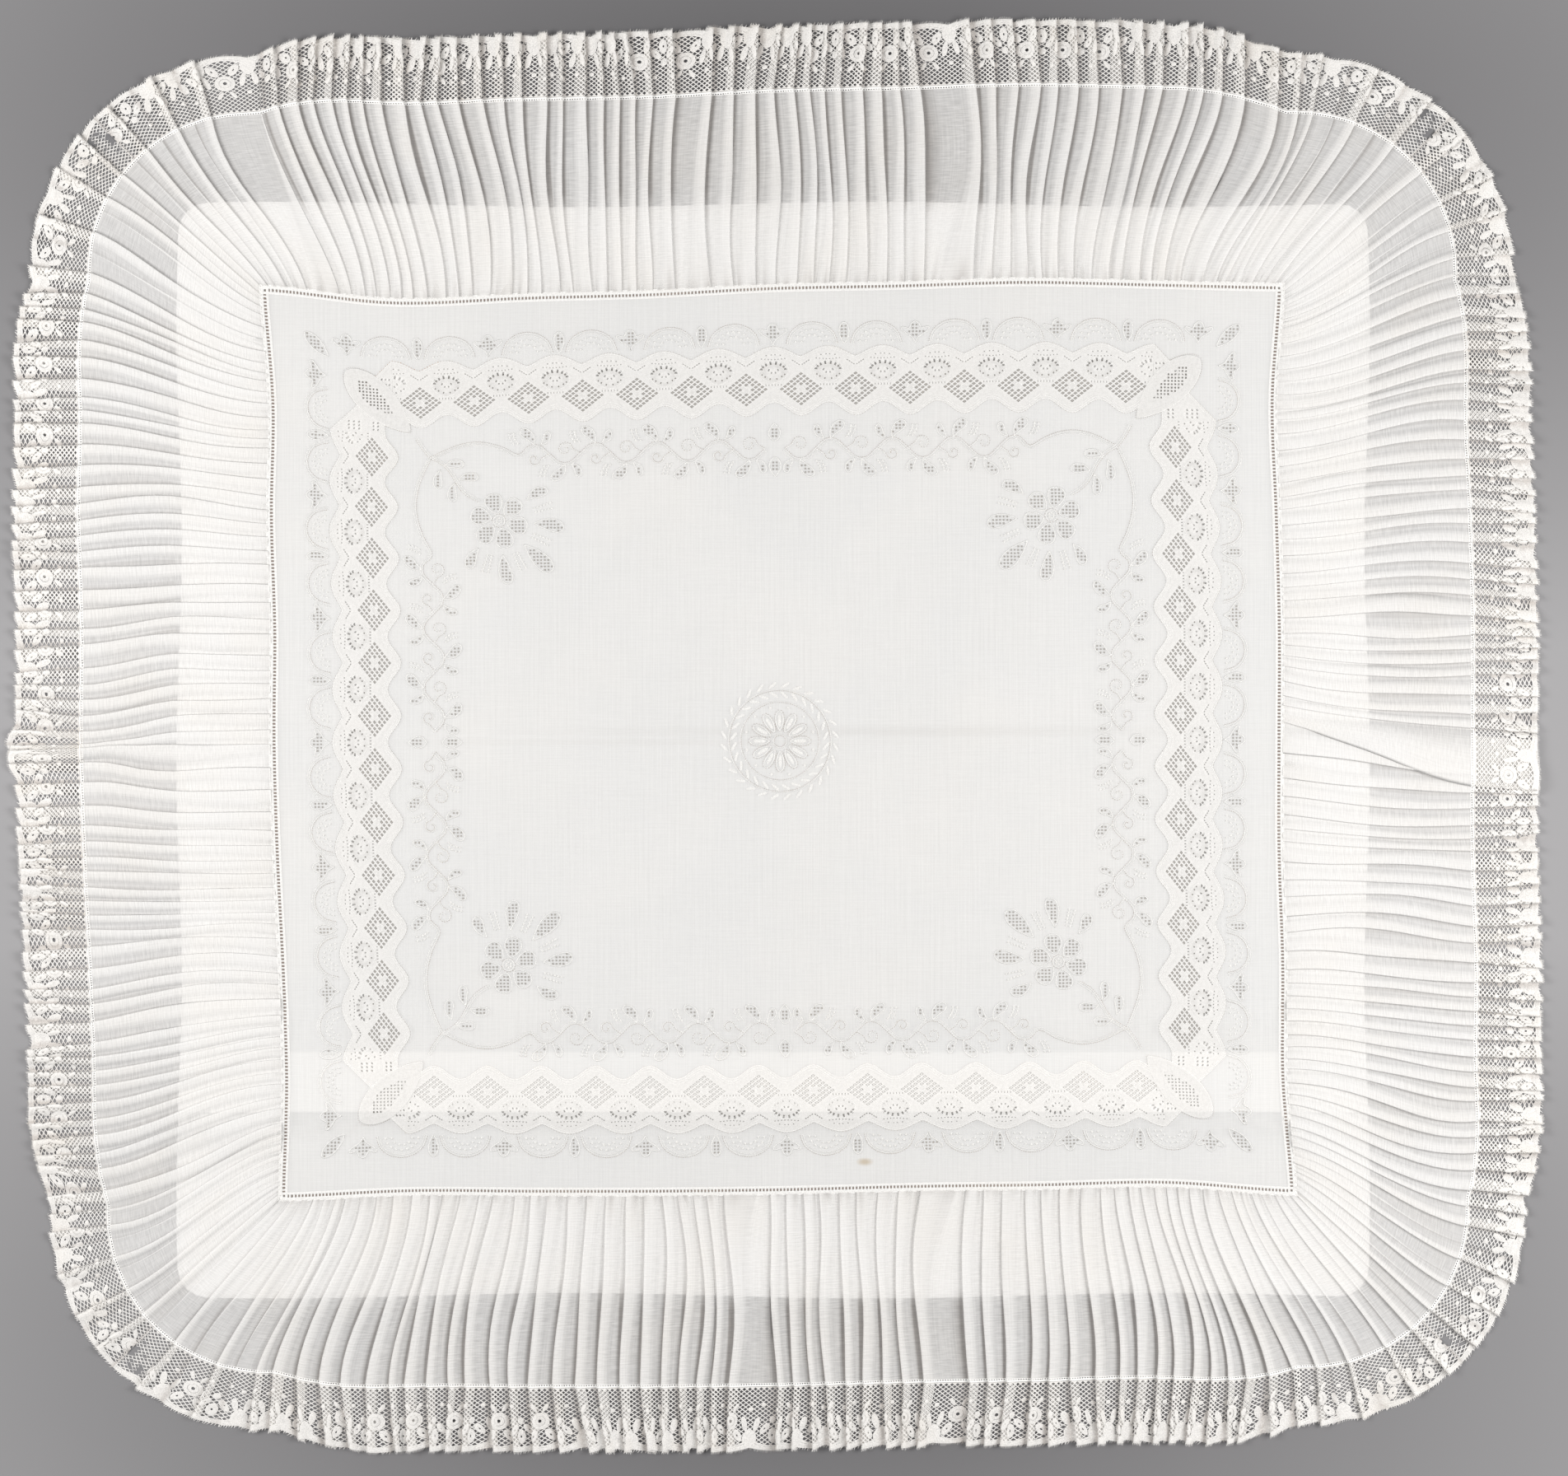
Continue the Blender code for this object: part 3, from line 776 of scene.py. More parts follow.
# Each stop's fifth number is painted shade: darkest in the slot beside the fold's sharp edge and under that edge.
SECTION = (
    FoldStop(Layer.SINGLE, 0.00, 0.0, 0.02, 0.95),
    FoldStop(Layer.SINGLE, 0.13, 0.0, 0.03, 0.50),
    FoldStop(Layer.SINGLE, 0.34, 0.0, 0.06, 0.10),
    FoldStop(Layer.SINGLE, 0.70, 0.0, 0.14),
    FoldStop(Layer.TOP, 1.0, 0.00, 0.42),
    FoldStop(Layer.TOP, 1.0, 0.30, 0.68),
    FoldStop(Layer.TOP, 1.0, 0.66, 0.90),
    FoldStop(Layer.TOP, 1.0, 0.92, 1.00),
    FoldStop(Layer.TOP, 1.0, 1.00, 0.90, 0.12),
    FoldStop(Layer.UNDER, 1.0, 0.92, 0.72),
    FoldStop(Layer.UNDER, 1.0, 0.45, 0.45, 0.0, 0.9),
    FoldStop(Layer.UNDER, 1.0, 0.06, 0.30, 0.0, 0.15),
    FoldStop(Layer.BOTTOM, 1.0, 0.06, 0.10, 0.0, 0.10),
    FoldStop(Layer.BOTTOM, 1.0, 0.50, 0.05, 0.0, 0.85),
    FoldStop(Layer.BOTTOM, 1.0, 1.00, 0.01, 0.85),
)


@dataclass
class Pleat:
    """One knife pleat, between two places on the heading line."""

    start: float
    end: float
    overlap: float
    height: float
    lean: float
    tilt: float
    sway: float
    phase: float
    tuck: float
    flap: float = 0.0
    # How strongly the pleat takes the painted shade of its slot: little where it lies flat at a corner.
    shade: float = 1.0

    @property
    def pitch(self) -> float:
        """Width of the pleat on the heading line."""
        return self.end - self.start

    def crest(self, share: float) -> float:
        """Place of the fold's sharp edge, from the pleat's start, at a share of the depth."""
        gap = max(0.07 * self.pitch, 0.25)
        wander = self.sway * math.sin(math.pi * share) * math.sin(4.2 * share + self.phase)
        return self.pitch - gap + wander + self.flap * share

    def band(self, share: float) -> float:
        """Width of the folded band at a share of the depth."""
        if self.flap:
            return (0.55 + 0.3 * share) * self.pitch + self.flap * share
        full = 0.86 * self.pitch
        gather = (1.0 - share) ** 2 if share < 1.0 else 0.0
        swell = 1.0 + 0.14 * math.sin(5.0 * share + 2.0 * self.phase) * math.sin(math.pi * min(share, 1.0))
        return min(self.overlap * swell + (full - self.overlap) * 0.8 * gather, full)

    def place(self, stop: FoldStop, share: float, slack: float = 0.0) -> float:
        """Place along the heading line of a stop of the section.

        Args:
            stop: The stop.
            share: Share of the frill's depth.
            slack: How far the band has opened out, in the lace.

        Returns:
            The place.
        """
        crest = self.crest(share)
        inner = crest - self.band(share) * (1.0 - (0.0 if self.flap else slack))
        if stop.layer is Layer.SINGLE:
            return self.start + stop.single * inner
        return self.start + inner + stop.band * (crest - inner)


@dataclass(frozen=True)
class WidePleat:
    """A fold that is much wider than the rest, at a place along the heading line."""

    side: Side
    place: float
    width: float
    flap: float = 0.0


WIDE_PLEATS = (
    WidePleat(Side.TOP, -176.0, 17.0),
    WidePleat(Side.TOP, -15.0, 12.0),
    WidePleat(Side.TOP, 62.0, 19.0),
    WidePleat(Side.TOP, 163.0, 11.0),
    WidePleat(Side.RIGHT, -1.0, 8.5, 11.0),
    WidePleat(Side.BOTTOM, -43.0, 15.5),
    WidePleat(Side.BOTTOM, 17.0, 17.0),
    WidePleat(Side.LEFT, -3.0, 7.0, 3.5),
)


@dataclass(frozen=True)
class Slide:
    """A place where the pleats have slid: how far at the seam, and how they pinch, kink and bulge."""

    side: Side
    place: float
    seam: float
    before: float
    after: float
    pinch: float = 0.0
    kink: float = 0.75
    step: float = 0.0
    bulge: float = 0.0


SLIDES = (
    Slide(Side.RIGHT, 6.0, -9.0, 26.0, 9.0),
    Slide(Side.LEFT, -3.0, 2.0, 14.0, 14.0, pinch=5.3, step=1.3, bulge=2.6),
    Slide(Side.TOP, -94.0, 5.0, 40.0, 45.0),
)


class PleatedLength:
    """One side's pleats, as columns of cloth that run out from the seam to the lace's edge."""

    FRILL_SHARES = (0.0, 0.018, 0.045, 0.08, 0.125, 0.18, 0.25, 0.33, 0.42, 0.51, 0.6, 0.69, 0.78, 0.86, 0.93, 0.982)
    HEM = 0.9
    LACE_DEPTH = 21.6
    LACE_CORNER_DEPTH = 19.4
    LACE_ROWS = (0.0, 2.5, 5.0, 8.0, 11.5, 15.0, 18.5, 21.6)

    def __init__(self, plan: Plan, side: Side, shape_rng: random.Random, look_rng: random.Random) -> None:
        """Work out the side's pleats.

        Args:
            plan: The plan.
            side: The side.
            shape_rng: Draws of the widths, in the solids' order.
            look_rng: Draws of everything else.
        """
        self.plan = plan
        self.side = side
        self.pleats = self.make_pleats(shape_rng, look_rng)
        self.columns = [(index, stop) for index in range(len(self.pleats)) for stop in SECTION]
        self.columns.append((len(self.pleats) - 1, None))
        self.flat = self.measure_flat()
        self.hem_rows = self.rows_of_points((1.0 - self.HEM / self.depth, 1.0), self.frill_place)
        self.lace_rows = [
            [self.lace_place(column, beyond) for column in range(len(self.columns))] for beyond in self.LACE_ROWS
        ]

    @property
    def depth(self) -> float:
        """The frill's depth at mid-side."""
        return self.plan.sizes[self.side].depth

    @property
    def length(self) -> float:
        """Length of the cloth before it was pleated."""
        return self.flat[-1]

    def make_pleats(self, shape_rng: random.Random, look_rng: random.Random) -> list[Pleat]:
        """Place the side's pleats along the heading line.

        Args:
            shape_rng: Draws of the widths, in the solids' order.
            look_rng: Draws of the folds' own ways.

        Returns:
            The pleats, clockwise.
        """
        half = self.plan.heading_half(self.side)
        count = self.plan.sizes[self.side].pleats
        widths = [shape_rng.uniform(0.72, 1.28) for _ in range(count)]
        fixed = {
            int((wide.place + half) / (2.0 * half) * count): wide for wide in WIDE_PLEATS if wide.side is self.side
        }
        free = sum(width for index, width in enumerate(widths) if index not in fixed)
        scale = (2.0 * half - sum(wide.width for wide in fixed.values())) / free
        chances = [shape_rng.random() for _ in range(2 * count + 1)]
        pleats = []
        start = -half
        drift = 0.0
        for index, width in enumerate(widths):
            pitch = fixed[index].width if index in fixed else width * scale
            usual = min(pitch, 7.2)
            fullness = 1.0 if self.side in (Side.TOP, Side.BOTTOM) else 1.17
            flap = fixed[index].flap if index in fixed else 0.0
            drift = 0.7 * drift + look_rng.gauss(0.0, 0.045)
            turned = smooth_step((abs(start + 0.5 * pitch) - self.plan.sizes[self.side].half) / 10.0)
            flat = turned * (0.96 if index % 2 else 0.2)
            pleats.append(
                Pleat(
                    start=start,
                    end=start + pitch,
                    overlap=usual * fullness * look_rng.uniform(0.46, 0.66) * (1.0 - flat),
                    height=(1.15 + 0.55 * chances[2 * index + 1]) * (1.0 - 0.97 * flat) + (0.5 if flap else 0.0),
                    lean=(drift + look_rng.gauss(0.0, 0.03)) * (1.0 - 0.5 * turned),
                    tilt=look_rng.gauss(0.04, 0.05) * (1.0 - 0.7 * turned),
                    sway=usual * look_rng.uniform(0.03, 0.16),
                    phase=look_rng.uniform(0.0, 2.0 * math.pi),
                    tuck=look_rng.random(),
                    flap=flap,
                    shade=1.0 - 0.9 * flat,
                )
            )
            start += pitch
        return pleats

    def measure_flat(self) -> list[float]:
        """Flat place of each column, by the length of its section on the heading line."""
        flat = [0.0]
        last = None
        for column in range(len(self.columns)):
            place, rise = self.section_at(column, 1.0)
            if last is not None:
                flat.append(flat[-1] + max(math.hypot(place - last[0], rise - last[1]), 0.01))
            last = (place, rise)
        return flat

    def section_at(self, column: int, share: float, slack: float = 0.0) -> Point:
        """Place along the heading line and height over the bed of a column.

        Args:
            column: The column.
            share: Share of the frill's depth.
            slack: How far the folds have opened out.

        Returns:
            The place and the height.
        """
        index, stop = self.columns[column]
        pleat = self.pleats[index]
        if stop is None:
            return pleat.end, 0.02 * pleat.height
        return pleat.place(stop, share, slack), stop.rise * pleat.height

    def painted_shade_at(self, flat: float) -> float:
        """How deep in painted shade a flat place of the cloth lies."""
        column = min(max(bisect_right(self.flat, flat) - 1, 0), len(self.flat) - 2)
        share = (flat - self.flat[column]) / (self.flat[column + 1] - self.flat[column])
        near, far = (self.painted_shade_of(place) for place in (column, column + 1))
        return near + min(max(share, 0.0), 1.0) * (far - near)

    def painted_shade_of(self, column: int) -> float:
        """How deep in painted shade a column lies."""
        index, stop = self.columns[column]
        return (stop or SECTION[0]).crease * self.pleats[index].shade * (0.35 if self.pleats[index].flap else 1.0)

    def pucker_of(self, column: int, share: float) -> float:
        """Painted shade of the small puckers where the frill is gathered on to the seam."""
        stroke = max(math.sin(2.4 * column + 1.3 * math.sin(0.37 * column)), 0.0)
        reach = 0.045 + 0.03 * math.sin(1.9 * column)
        return 0.75 * stroke * math.exp(-share / reach)

    def over_back(self, column: int, share: float) -> float:
        """How strongly the painted crease shade shows at a place: least over the backing, which lights it."""
        x, y = self.plan.laid(self.side, *self.plan.frill_point(self.side, self.section_at(column, share)[0], share))
        return 0.16 + 0.84 * smooth_step((self.plan.beyond_back(x, y) + 2.0) / 4.0)

    def wander(self, place: float, share: float) -> float:
        """How far the pleats have slipped along the side at a share of the depth.

        Args:
            place: Place along the heading line.
            share: Share of the frill's depth.

        Returns:
            The slip, in millimetres.
        """
        seed = 1.7 * list(Side).index(self.side)
        edge = 1.0 - smooth_step((abs(place) / self.plan.heading_half(self.side) - 0.78) / 0.22)
        bow = math.sin(math.pi * min(share, 1.0))
        slip = bow * (1.7 * math.sin(place / 24.0 + seed) + 1.2 * math.sin(place / 8.5 + 2.0 * seed + 1.5 * share))
        slip += (1.0 - share) * 2.4 * math.sin(place / 31.0 + 2.3 * seed)
        slides = [slide for slide in SLIDES if slide.side is self.side]
        for slide in slides:
            if slide.pinch:
                slip *= 1.0 - 0.9 * math.exp(-(((place - slide.place) / 32.0) ** 2))
        for slide in slides:
            away = place - slide.place
            reach = slide.after if away > 0.0 else slide.before
            slip += slide.seam * (1.0 - share) * math.exp(-abs(away) / reach)
            pinch = smooth_step((share - 0.45) / 0.5)
            fade = 9.0 if away < 0.0 else 17.0
            slip -= slide.pinch * pinch * away / 6.0 * math.exp(-abs(away) / fade)
            kink = smooth_step((share - slide.kink) / 0.06) - smooth_step((share - slide.kink) / 0.3)
            slip += slide.step * kink * math.exp(-abs(away) / 12.0)
        return edge * slip

    def frill_place(self, column: int, share: float) -> Vector:
        """Laid point of a column at a share of the frill's depth, in millimetres."""
        place, rise = self.section_at(column, share)
        half = self.plan.heading_half(self.side)
        place = min(max(place + self.wander(place, share), -half), half)
        index, _ = self.columns[column]
        pleat = self.pleats[index]
        along, out = self.plan.frill_point(self.side, place, share)
        x, y = self.plan.laid(self.side, along, out)
        beyond = self.plan.beyond_back(x, y) - self.plan.edge_clearance
        falls = smooth_step(beyond / 12.0)
        base = self.plan.frill_base(y) * (1.0 - falls) * (1.0 - falls)
        gather = 0.28 + 0.17 * smooth_step(share / 0.12) + 0.55 * smooth_step((share - 0.15) / 0.75)
        pucker = 0.35 * math.exp(-share / 0.06) * math.sin(11.0 * pleat.tuck + 2.1 * place)
        return Vector((x, y, base + 0.2 + max(rise * gather + pucker, 0.0)))

    def lace_place(self, column: int, beyond: float) -> Vector:
        """Laid point of a column at a distance out in the lace, in millimetres."""
        place, rise = self.section_at(column, 1.0, 0.2 * smooth_step(beyond / 13.0))
        half = self.plan.heading_half(self.side)
        index, stop = self.columns[column]
        pleat = self.pleats[index]
        after = self.pleats[min(index + 1, len(self.pleats) - 1)]
        before = self.pleats[max(index - 1, 0)]
        crest = pleat.start + pleat.crest(1.0)
        step = pleat.tilt * (place - crest)
        if stop is None:
            lean, step = pleat.lean, -after.tilt * after.crest(1.0)
        elif stop.layer is Layer.SINGLE:
            lean = pleat.lean + 0.4 * (1.0 - stop.single) * (before.lean - pleat.lean)
        elif stop.layer is Layer.BOTTOM:
            lean = pleat.lean + 0.6 * stop.band * (after.lean - pleat.lean)
            step = (1.0 - stop.band) * pleat.tilt * (place - crest) - stop.band * after.tilt * after.crest(1.0)
        else:
            lean = pleat.lean
        edge = 1.0 - smooth_step((abs(place) / half - 0.97) / 0.03)
        share = beyond / self.LACE_DEPTH
        place += lean * beyond * edge + self.wander(place, 1.0)
        place = min(max(place, -half), half)
        fall = (self.LACE_DEPTH - self.LACE_CORNER_DEPTH) * self.plan.corner_share(self.side, place)
        bulge = sum(
            slide.bulge * math.exp(-(((place - slide.place) / 7.5) ** 4)) for slide in SLIDES if slide.side is self.side
        )
        out = beyond * (self.LACE_DEPTH - fall + bulge) / self.LACE_DEPTH + step * share * edge
        x, y = self.plan.laid(self.side, *self.plan.heading_point(self.side, place, out))
        curl = 0.35 * share * share * (1.0 + math.sin(3.0 * pleat.phase))
        return Vector((x, y, 0.2 + rise * (1.0 + 0.35 * share) + curl))

    def rows_of_points(self, stations: Sequence[float], place: Callable[[int, float], Vector]) -> list[list[Vector]]:
        """Points of every column at each station, row by row."""
        return [[place(column, station) for column in range(len(self.columns))] for station in stations]

    def on_rows(
        self, rows: list[list[Vector]], stations: Sequence[float], flat: float, out: float, lift: float
    ) -> Vector:
        """Point over a table of rows, at a flat place, a station and a lift off the cloth.

        Args:
            rows: Points by row and column.
            stations: The rows' stations.
            flat: Flat place along the cloth.
            out: Station, which may lie past the last row.
            lift: Distance off the cloth, on its face.

        Returns:
            The laid point, in millimetres.
        """
        column = min(max(bisect_right(self.flat, flat) - 1, 0), len(self.flat) - 2)
        width = self.flat[column + 1] - self.flat[column]
        u = min(max((flat - self.flat[column]) / width, 0.0), 1.0)
        row = min(max(bisect_right(stations, out) - 1, 0), len(stations) - 2)
        v = (out - stations[row]) / (stations[row + 1] - stations[row])
        near = rows[row][column].lerp(rows[row][column + 1], u)
        far = rows[row + 1][column].lerp(rows[row + 1][column + 1], u)
        point = near + (far - near) * v
        if lift:
            run = rows[row][column + 1] - rows[row][column]
            face = run.cross(far - near)
            if face.length > 1e-9:
                point = point + face.normalized() * lift
        return point

    def on_lace(self, flat: float, out: float, lift: float) -> Vector:
        """Laid point on the lace."""
        return self.on_rows(self.lace_rows, self.LACE_ROWS, flat, out, lift)

    def on_hem(self, flat: float, out: float, lift: float) -> Vector:
        """Laid point on the frill's hem, out from -HEM to 0 at the heading line."""
        return self.on_rows(self.hem_rows, (-self.HEM, 0.0), flat, out, lift)


def wrap(obj: bpy.types.Object, plan: Plan, place: Callable[[float, float, float], Vector]) -> None:
    """Lay a flat-modelled piece on the pleats, from flat x, y and lift to the frame.

    Args:
        obj: The flat piece.
        plan: The plan.
        place: Gives the laid point of a flat place, an outward place and a lift.
    """
    for vert in obj.data.vertices:
        point = place(vert.co.x, vert.co.y, vert.co.z)
        vert.co = plan.to_frame(point.x, point.y, point.z)
    obj.data.update()


def finish_piece(obj: bpy.types.Object, material: bpy.types.Material, nodes: Sequence[str] = ()) -> None:
    """Dress a piece, make it ride on the part and hide the solids that it replaces.

    Args:
        obj: The piece.
        material: Its material.
        nodes: Names of the solids that it replaces.
    """
    obj.data.materials.clear()
    obj.data.materials.append(material)
    smooth_faces(obj)
    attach(obj, "root")
    if nodes:
        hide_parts(*nodes)
    LOG.info("%s: %d faces", obj.name, len(obj.data.polygons))


# ---------------------------------------------------------------------------
# The frill and its lace edging.
# ---------------------------------------------------------------------------


@dataclass
class Frill:
    """The pleated batiste of one side, with its corded hemstitch at the heading line."""

    run: PleatedLength
    hem_pitch: float = 0.85
    hem_rim: float = 0.19
    cord_width: float = 0.45
    cord_rise: float = 0.2

    def build(self) -> bpy.types.Object:
        """Model and dress the frill's length.

        Returns:
            The pleated piece.
        """
        side = self.run.side.value
        cloth = self.build_cloth()
        hem = self.build_hem()
        finish_piece(cloth, MATERIALS["batiste"], ["frill_" + side])
        finish_piece(hem, MATERIALS["cord"])
        flat = (self.run.length * MM, self.run.depth * MM)
        return cloth

    def build_cloth(self) -> bpy.types.Object:
        """The pleated cloth from the seam to the hem's row of holes."""
        run = self.run
        shares = (*run.FRILL_SHARES[:-1], 1.0 - run.HEM / run.depth)
        columns = len(run.columns) - 1
        rows = len(shares) - 1
        cloth = flat_grid("frill_cloth_" + run.side.value, columns, rows, (0.0, 0.0), (columns, rows))
        cells = [(round(vert.co.x), round(vert.co.y)) for vert in cloth.data.vertices]
        for vert, (column, row) in zip(cloth.data.vertices, cells):
            vert.co = (run.flat[column], shares[row] * run.depth, 0.0)
        lay_flat_map(cloth)
        for vert, (column, row) in zip(cloth.data.vertices, cells):
            point = run.frill_place(column, shares[row])
            vert.co = run.plan.to_frame(point.x, point.y, point.z)
        # Painted shade in the pleats' slots and in the puckers at the seam: stronger on the top and bottom sides, whose
        # pleats the side lamps light across.
        deep = 0.75 if run.side in (Side.TOP, Side.BOTTOM) else 0.25
        painted_shades = []
        for column, row in cells:
            shade = run.painted_shade_of(column) * run.over_back(column, shares[row]) + run.pucker_of(column, shares[row])
            painted_shades.append(deep * shade)
        give_attribute(cloth, "crease", painted_shades)
        give_attribute(cloth, "hidden", [(run.columns[column][1] or SECTION[0]).hidden for column, _ in cells])
        return cloth

    def build_hem(self) -> bpy.types.Object:
        """A row of small square holes and the cord beyond it, along the heading line."""
        run = self.run
        count = round(run.length / self.hem_pitch)
        holes = flat_grid("holes", count, 1, (0.0, -run.HEM), (run.length, -0.20))
        open_faces(holes, self.hem_rim, lambda centre: True)
        cord = flat_grid("cord", count, 3, (0.0, -0.22), (run.length, self.cord_width - 0.22))
        for vert in cord.data.vertices:
            across = (vert.co.y + 0.22) / self.cord_width
            twist = 0.05 * math.sin(2.0 * math.pi * (vert.co.x / self.hem_pitch) + 3.0 * across)
            vert.co.z = 0.05 + (self.cord_rise + twist) * math.sin(math.pi * across)
        hem = join_pieces("heading_" + run.side.value, [cord, holes])
        lay_flat_map(hem)
        wrap(hem, run.plan, self.place_hem)
        return hem

    def place_hem(self, flat: float, out: float, lift: float) -> Vector:
        """Laid point on the hem, which passes over on to the lace's first row."""
        if out > 0.0:
            return self.run.on_lace(flat, out, lift)
        return self.run.on_hem(flat, out, lift)


@dataclass(frozen=True)
class Petal:
    """A solid shape of the lace's sprig, at flat place s and depth t, turned in degrees."""

    s: float
    t: float
    length: float
    width: float
    turn: float = 0.0
    eye: float = 0.0
    point: float = 0.0

    def holds(self, s: float, t: float, margin: float) -> bool:
        """Whether a flat place lies inside the shape, less a margin."""
        angle = math.radians(self.turn)
        x = (s - self.s) * math.cos(angle) + (t - self.t) * math.sin(angle)
        y = (t - self.t) * math.cos(angle) - (s - self.s) * math.sin(angle)
        long = max(0.5 * self.length - margin, 0.01)
        wide = max(0.5 * self.width - margin, 0.01)
        return (x / long) ** 2 + (y / wide) ** 2 < 1.0


SPRIG = (
    Petal(0.0, 11.2, 6.0, 5.8, eye=0.6),
    Petal(0.0, 11.2, 3.4, 3.3, eye=0.36),
    Petal(-2.9, 16.0, 4.6, 2.5, turn=122.0, eye=0.2, point=0.2),
    Petal(2.9, 16.0, 4.6, 2.5, turn=58.0, eye=0.2, point=0.2),
    Petal(-1.9, 6.9, 3.2, 1.3, turn=55.0, point=0.4),
    Petal(1.9, 6.9, 3.2, 1.3, turn=125.0, point=0.4),
    Petal(-6.75, 16.6, 5.6, 4.4, turn=-90.0, point=0.6),
    Petal(6.75, 16.6, 5.6, 4.4, turn=-90.0, point=0.6),
    Petal(-5.1, 12.4, 5.4, 1.7, turn=103.0, point=0.3),
    Petal(5.1, 12.4, 5.4, 1.7, turn=77.0, point=0.3),
    Petal(8.5, 12.7, 5.0, 1.8, turn=104.0, point=0.3),
    Petal(18.5, 12.7, 5.0, 1.8, turn=76.0, point=0.3),
    Petal(13.5, 16.2, 4.8, 2.7, turn=90.0, eye=0.2),
    Petal(11.1, 14.0, 4.4, 2.1, turn=128.0, eye=0.2, point=0.2),
    Petal(15.9, 14.0, 4.4, 2.1, turn=52.0, eye=0.2, point=0.2),
    Petal(13.5, 11.0, 2.4, 2.0, turn=90.0),
    Petal(6.75, 7.6, 1.6, 1.5),
    Petal(-6.75, 7.6, 1.6, 1.5),
    Petal(10.6, 6.2, 1.5, 1.4),
    Petal(16.4, 6.2, 1.5, 1.4),
)


@dataclass
class LaceEdging:
    """The gathered bobbin lace of one side: open net, sprigs, a scalloped border and picots."""

    run: PleatedLength
    net_pitch: float = 1.85
    net_rise: float = 1.45
    thread: float = 0.15
    repeat: float = 27.0
    edge: float = 21.2
    scallop: float = 1.1
    border: float = 1.7
    joint: float = 1.3
    picot_step: float = 0.62
    picot_length: float = 0.95
    picot_width: float = 0.27
    petal_points: int = 11

    def build(self) -> bpy.types.Object:
        """Model the edging flat, lay it in the pleats and dress it.

        Returns:
            The edging.
        """
        run = self.run
        side = run.side.value
        repeats = round(run.length / self.repeat)
        self.repeat = run.length / repeats
        parts = [self.build_net(), self.build_border(), self.build_picots(), self.build_sprigs(repeats)]
        edging = join_pieces("lace_edging_" + side, parts)
        lay_flat_map(edging)
        # Painted shade in the lace's pleat slots, as in the frill's.
        give_attribute(edging, "crease", [run.painted_shade_at(vert.co.x) for vert in edging.data.vertices])
        wrap(edging, run.plan, run.on_lace)
        finish_piece(edging, MATERIALS["lace"], ["edging_" + side])
        return edging

    def edge_at(self, flat: float) -> float:
        """Depth of the scalloped outer edge at a flat place."""
        return self.edge - self.scallop * (1.0 - abs(math.cos(2.0 * math.pi * flat / self.repeat)) ** 0.8)

    def border_at(self, flat: float) -> float:
        """Depth of the border's inner line, which arches over each sprig."""
        return self.edge_at(flat) - self.border - self.joint * (1.0 - abs(math.cos(2.0 * math.pi * flat / self.repeat)))

    def build_net(self) -> bpy.types.Object:
        """The diamond net: a grid poked to diamonds, each one opened but for its threads."""
        run = self.run
        columns = round(run.length / self.net_pitch)
        rows = round((self.edge - 0.4) / self.net_rise)
        net = flat_grid("net", columns, rows, (0.0, 0.3), (run.length, 0.3 + rows * self.net_rise))
        first = len(net.data.vertices)
        select_only(net)
        bpy.ops.object.mode_set(mode="EDIT")
        bpy.ops.mesh.select_all(action="SELECT")
        bpy.ops.mesh.poke()
        bpy.ops.mesh.select_mode(type="EDGE")
        bpy.ops.mesh.select_all(action="DESELECT")
        bm = bmesh.from_edit_mesh(net.data)
        for edge in bm.edges:
            old = edge.verts[0].index < first and edge.verts[1].index < first
            if old and len(edge.link_faces) == 2:
                edge.select_set(True)
        bmesh.update_edit_mesh(net.data)
        bpy.ops.mesh.dissolve_edges(use_verts=False)
        bpy.ops.object.mode_set(mode="OBJECT")
        cut_faces(net, lambda centre: centre.y > self.border_at(centre.x) + 0.5 or self.in_sprig(centre, 0.55))
        open_faces(net, self.thread, lambda centre: centre.y > 0.8)
        return net

    def in_sprig(self, centre: Vector, margin: float) -> bool:
        """Whether a flat place lies well inside one of the sprig's shapes."""
        s = (centre.x + 0.25 * self.repeat) % self.repeat - 0.25 * self.repeat
        return any(petal.holds(s, centre.y, margin) for petal in SPRIG)

    def build_border(self) -> bpy.types.Object:
        """The close border with its raised lines, from its arched inner line to the edge."""
        run = self.run
        columns = round(run.length / 0.9)
        rows = 8
        border = flat_grid("border", columns, rows, (0.0, 0.0), (run.length, 1.0))
        open_faces(border, 0.05, lambda centre: 0.25 < centre.y < 0.37 and math.sin(0.8 * centre.x) > -0.4)
        for vert in border.data.vertices:
            share = vert.co.y
            low, high = self.border_at(vert.co.x), self.edge_at(vert.co.x)
            line = round(share * rows) % 2
            vert.co.y = low + share * (high - low)
            vert.co.z = 0.06 + 0.16 * line * (share > 0.4)
        return border

    def build_picots(self) -> bpy.types.Object:
        """Small slanted thread loops along the edge."""
        count = int(self.run.length / self.picot_step) - 1
        picot = flat_grid("picots", 1, 2, (0.0, 0.0), (self.picot_width, self.picot_length))
        for vert in picot.data.vertices:
            reach = vert.co.y / self.picot_length
            vert.co.x = 0.5 * self.picot_width + (vert.co.x - 0.5 * self.picot_width) * (1.0 - 0.75 * reach)
            vert.co.x += 0.28 * reach
            vert.co.z = 0.1
        size = len(picot.data.vertices)
        repeat_along(picot, count, self.picot_step)
        rng = random.Random(self.run.side.value)
        for copy in range(count):
            place = (copy + 0.5) * self.picot_step
            grow = rng.uniform(0.6, 1.1)
            slant = rng.uniform(-0.2, 0.5)
            for vert in picot.data.vertices[copy * size : (copy + 1) * size]:
                vert.co.x += slant * vert.co.y
                vert.co.y = self.edge_at(place) - 0.15 + vert.co.y * grow
        return picot

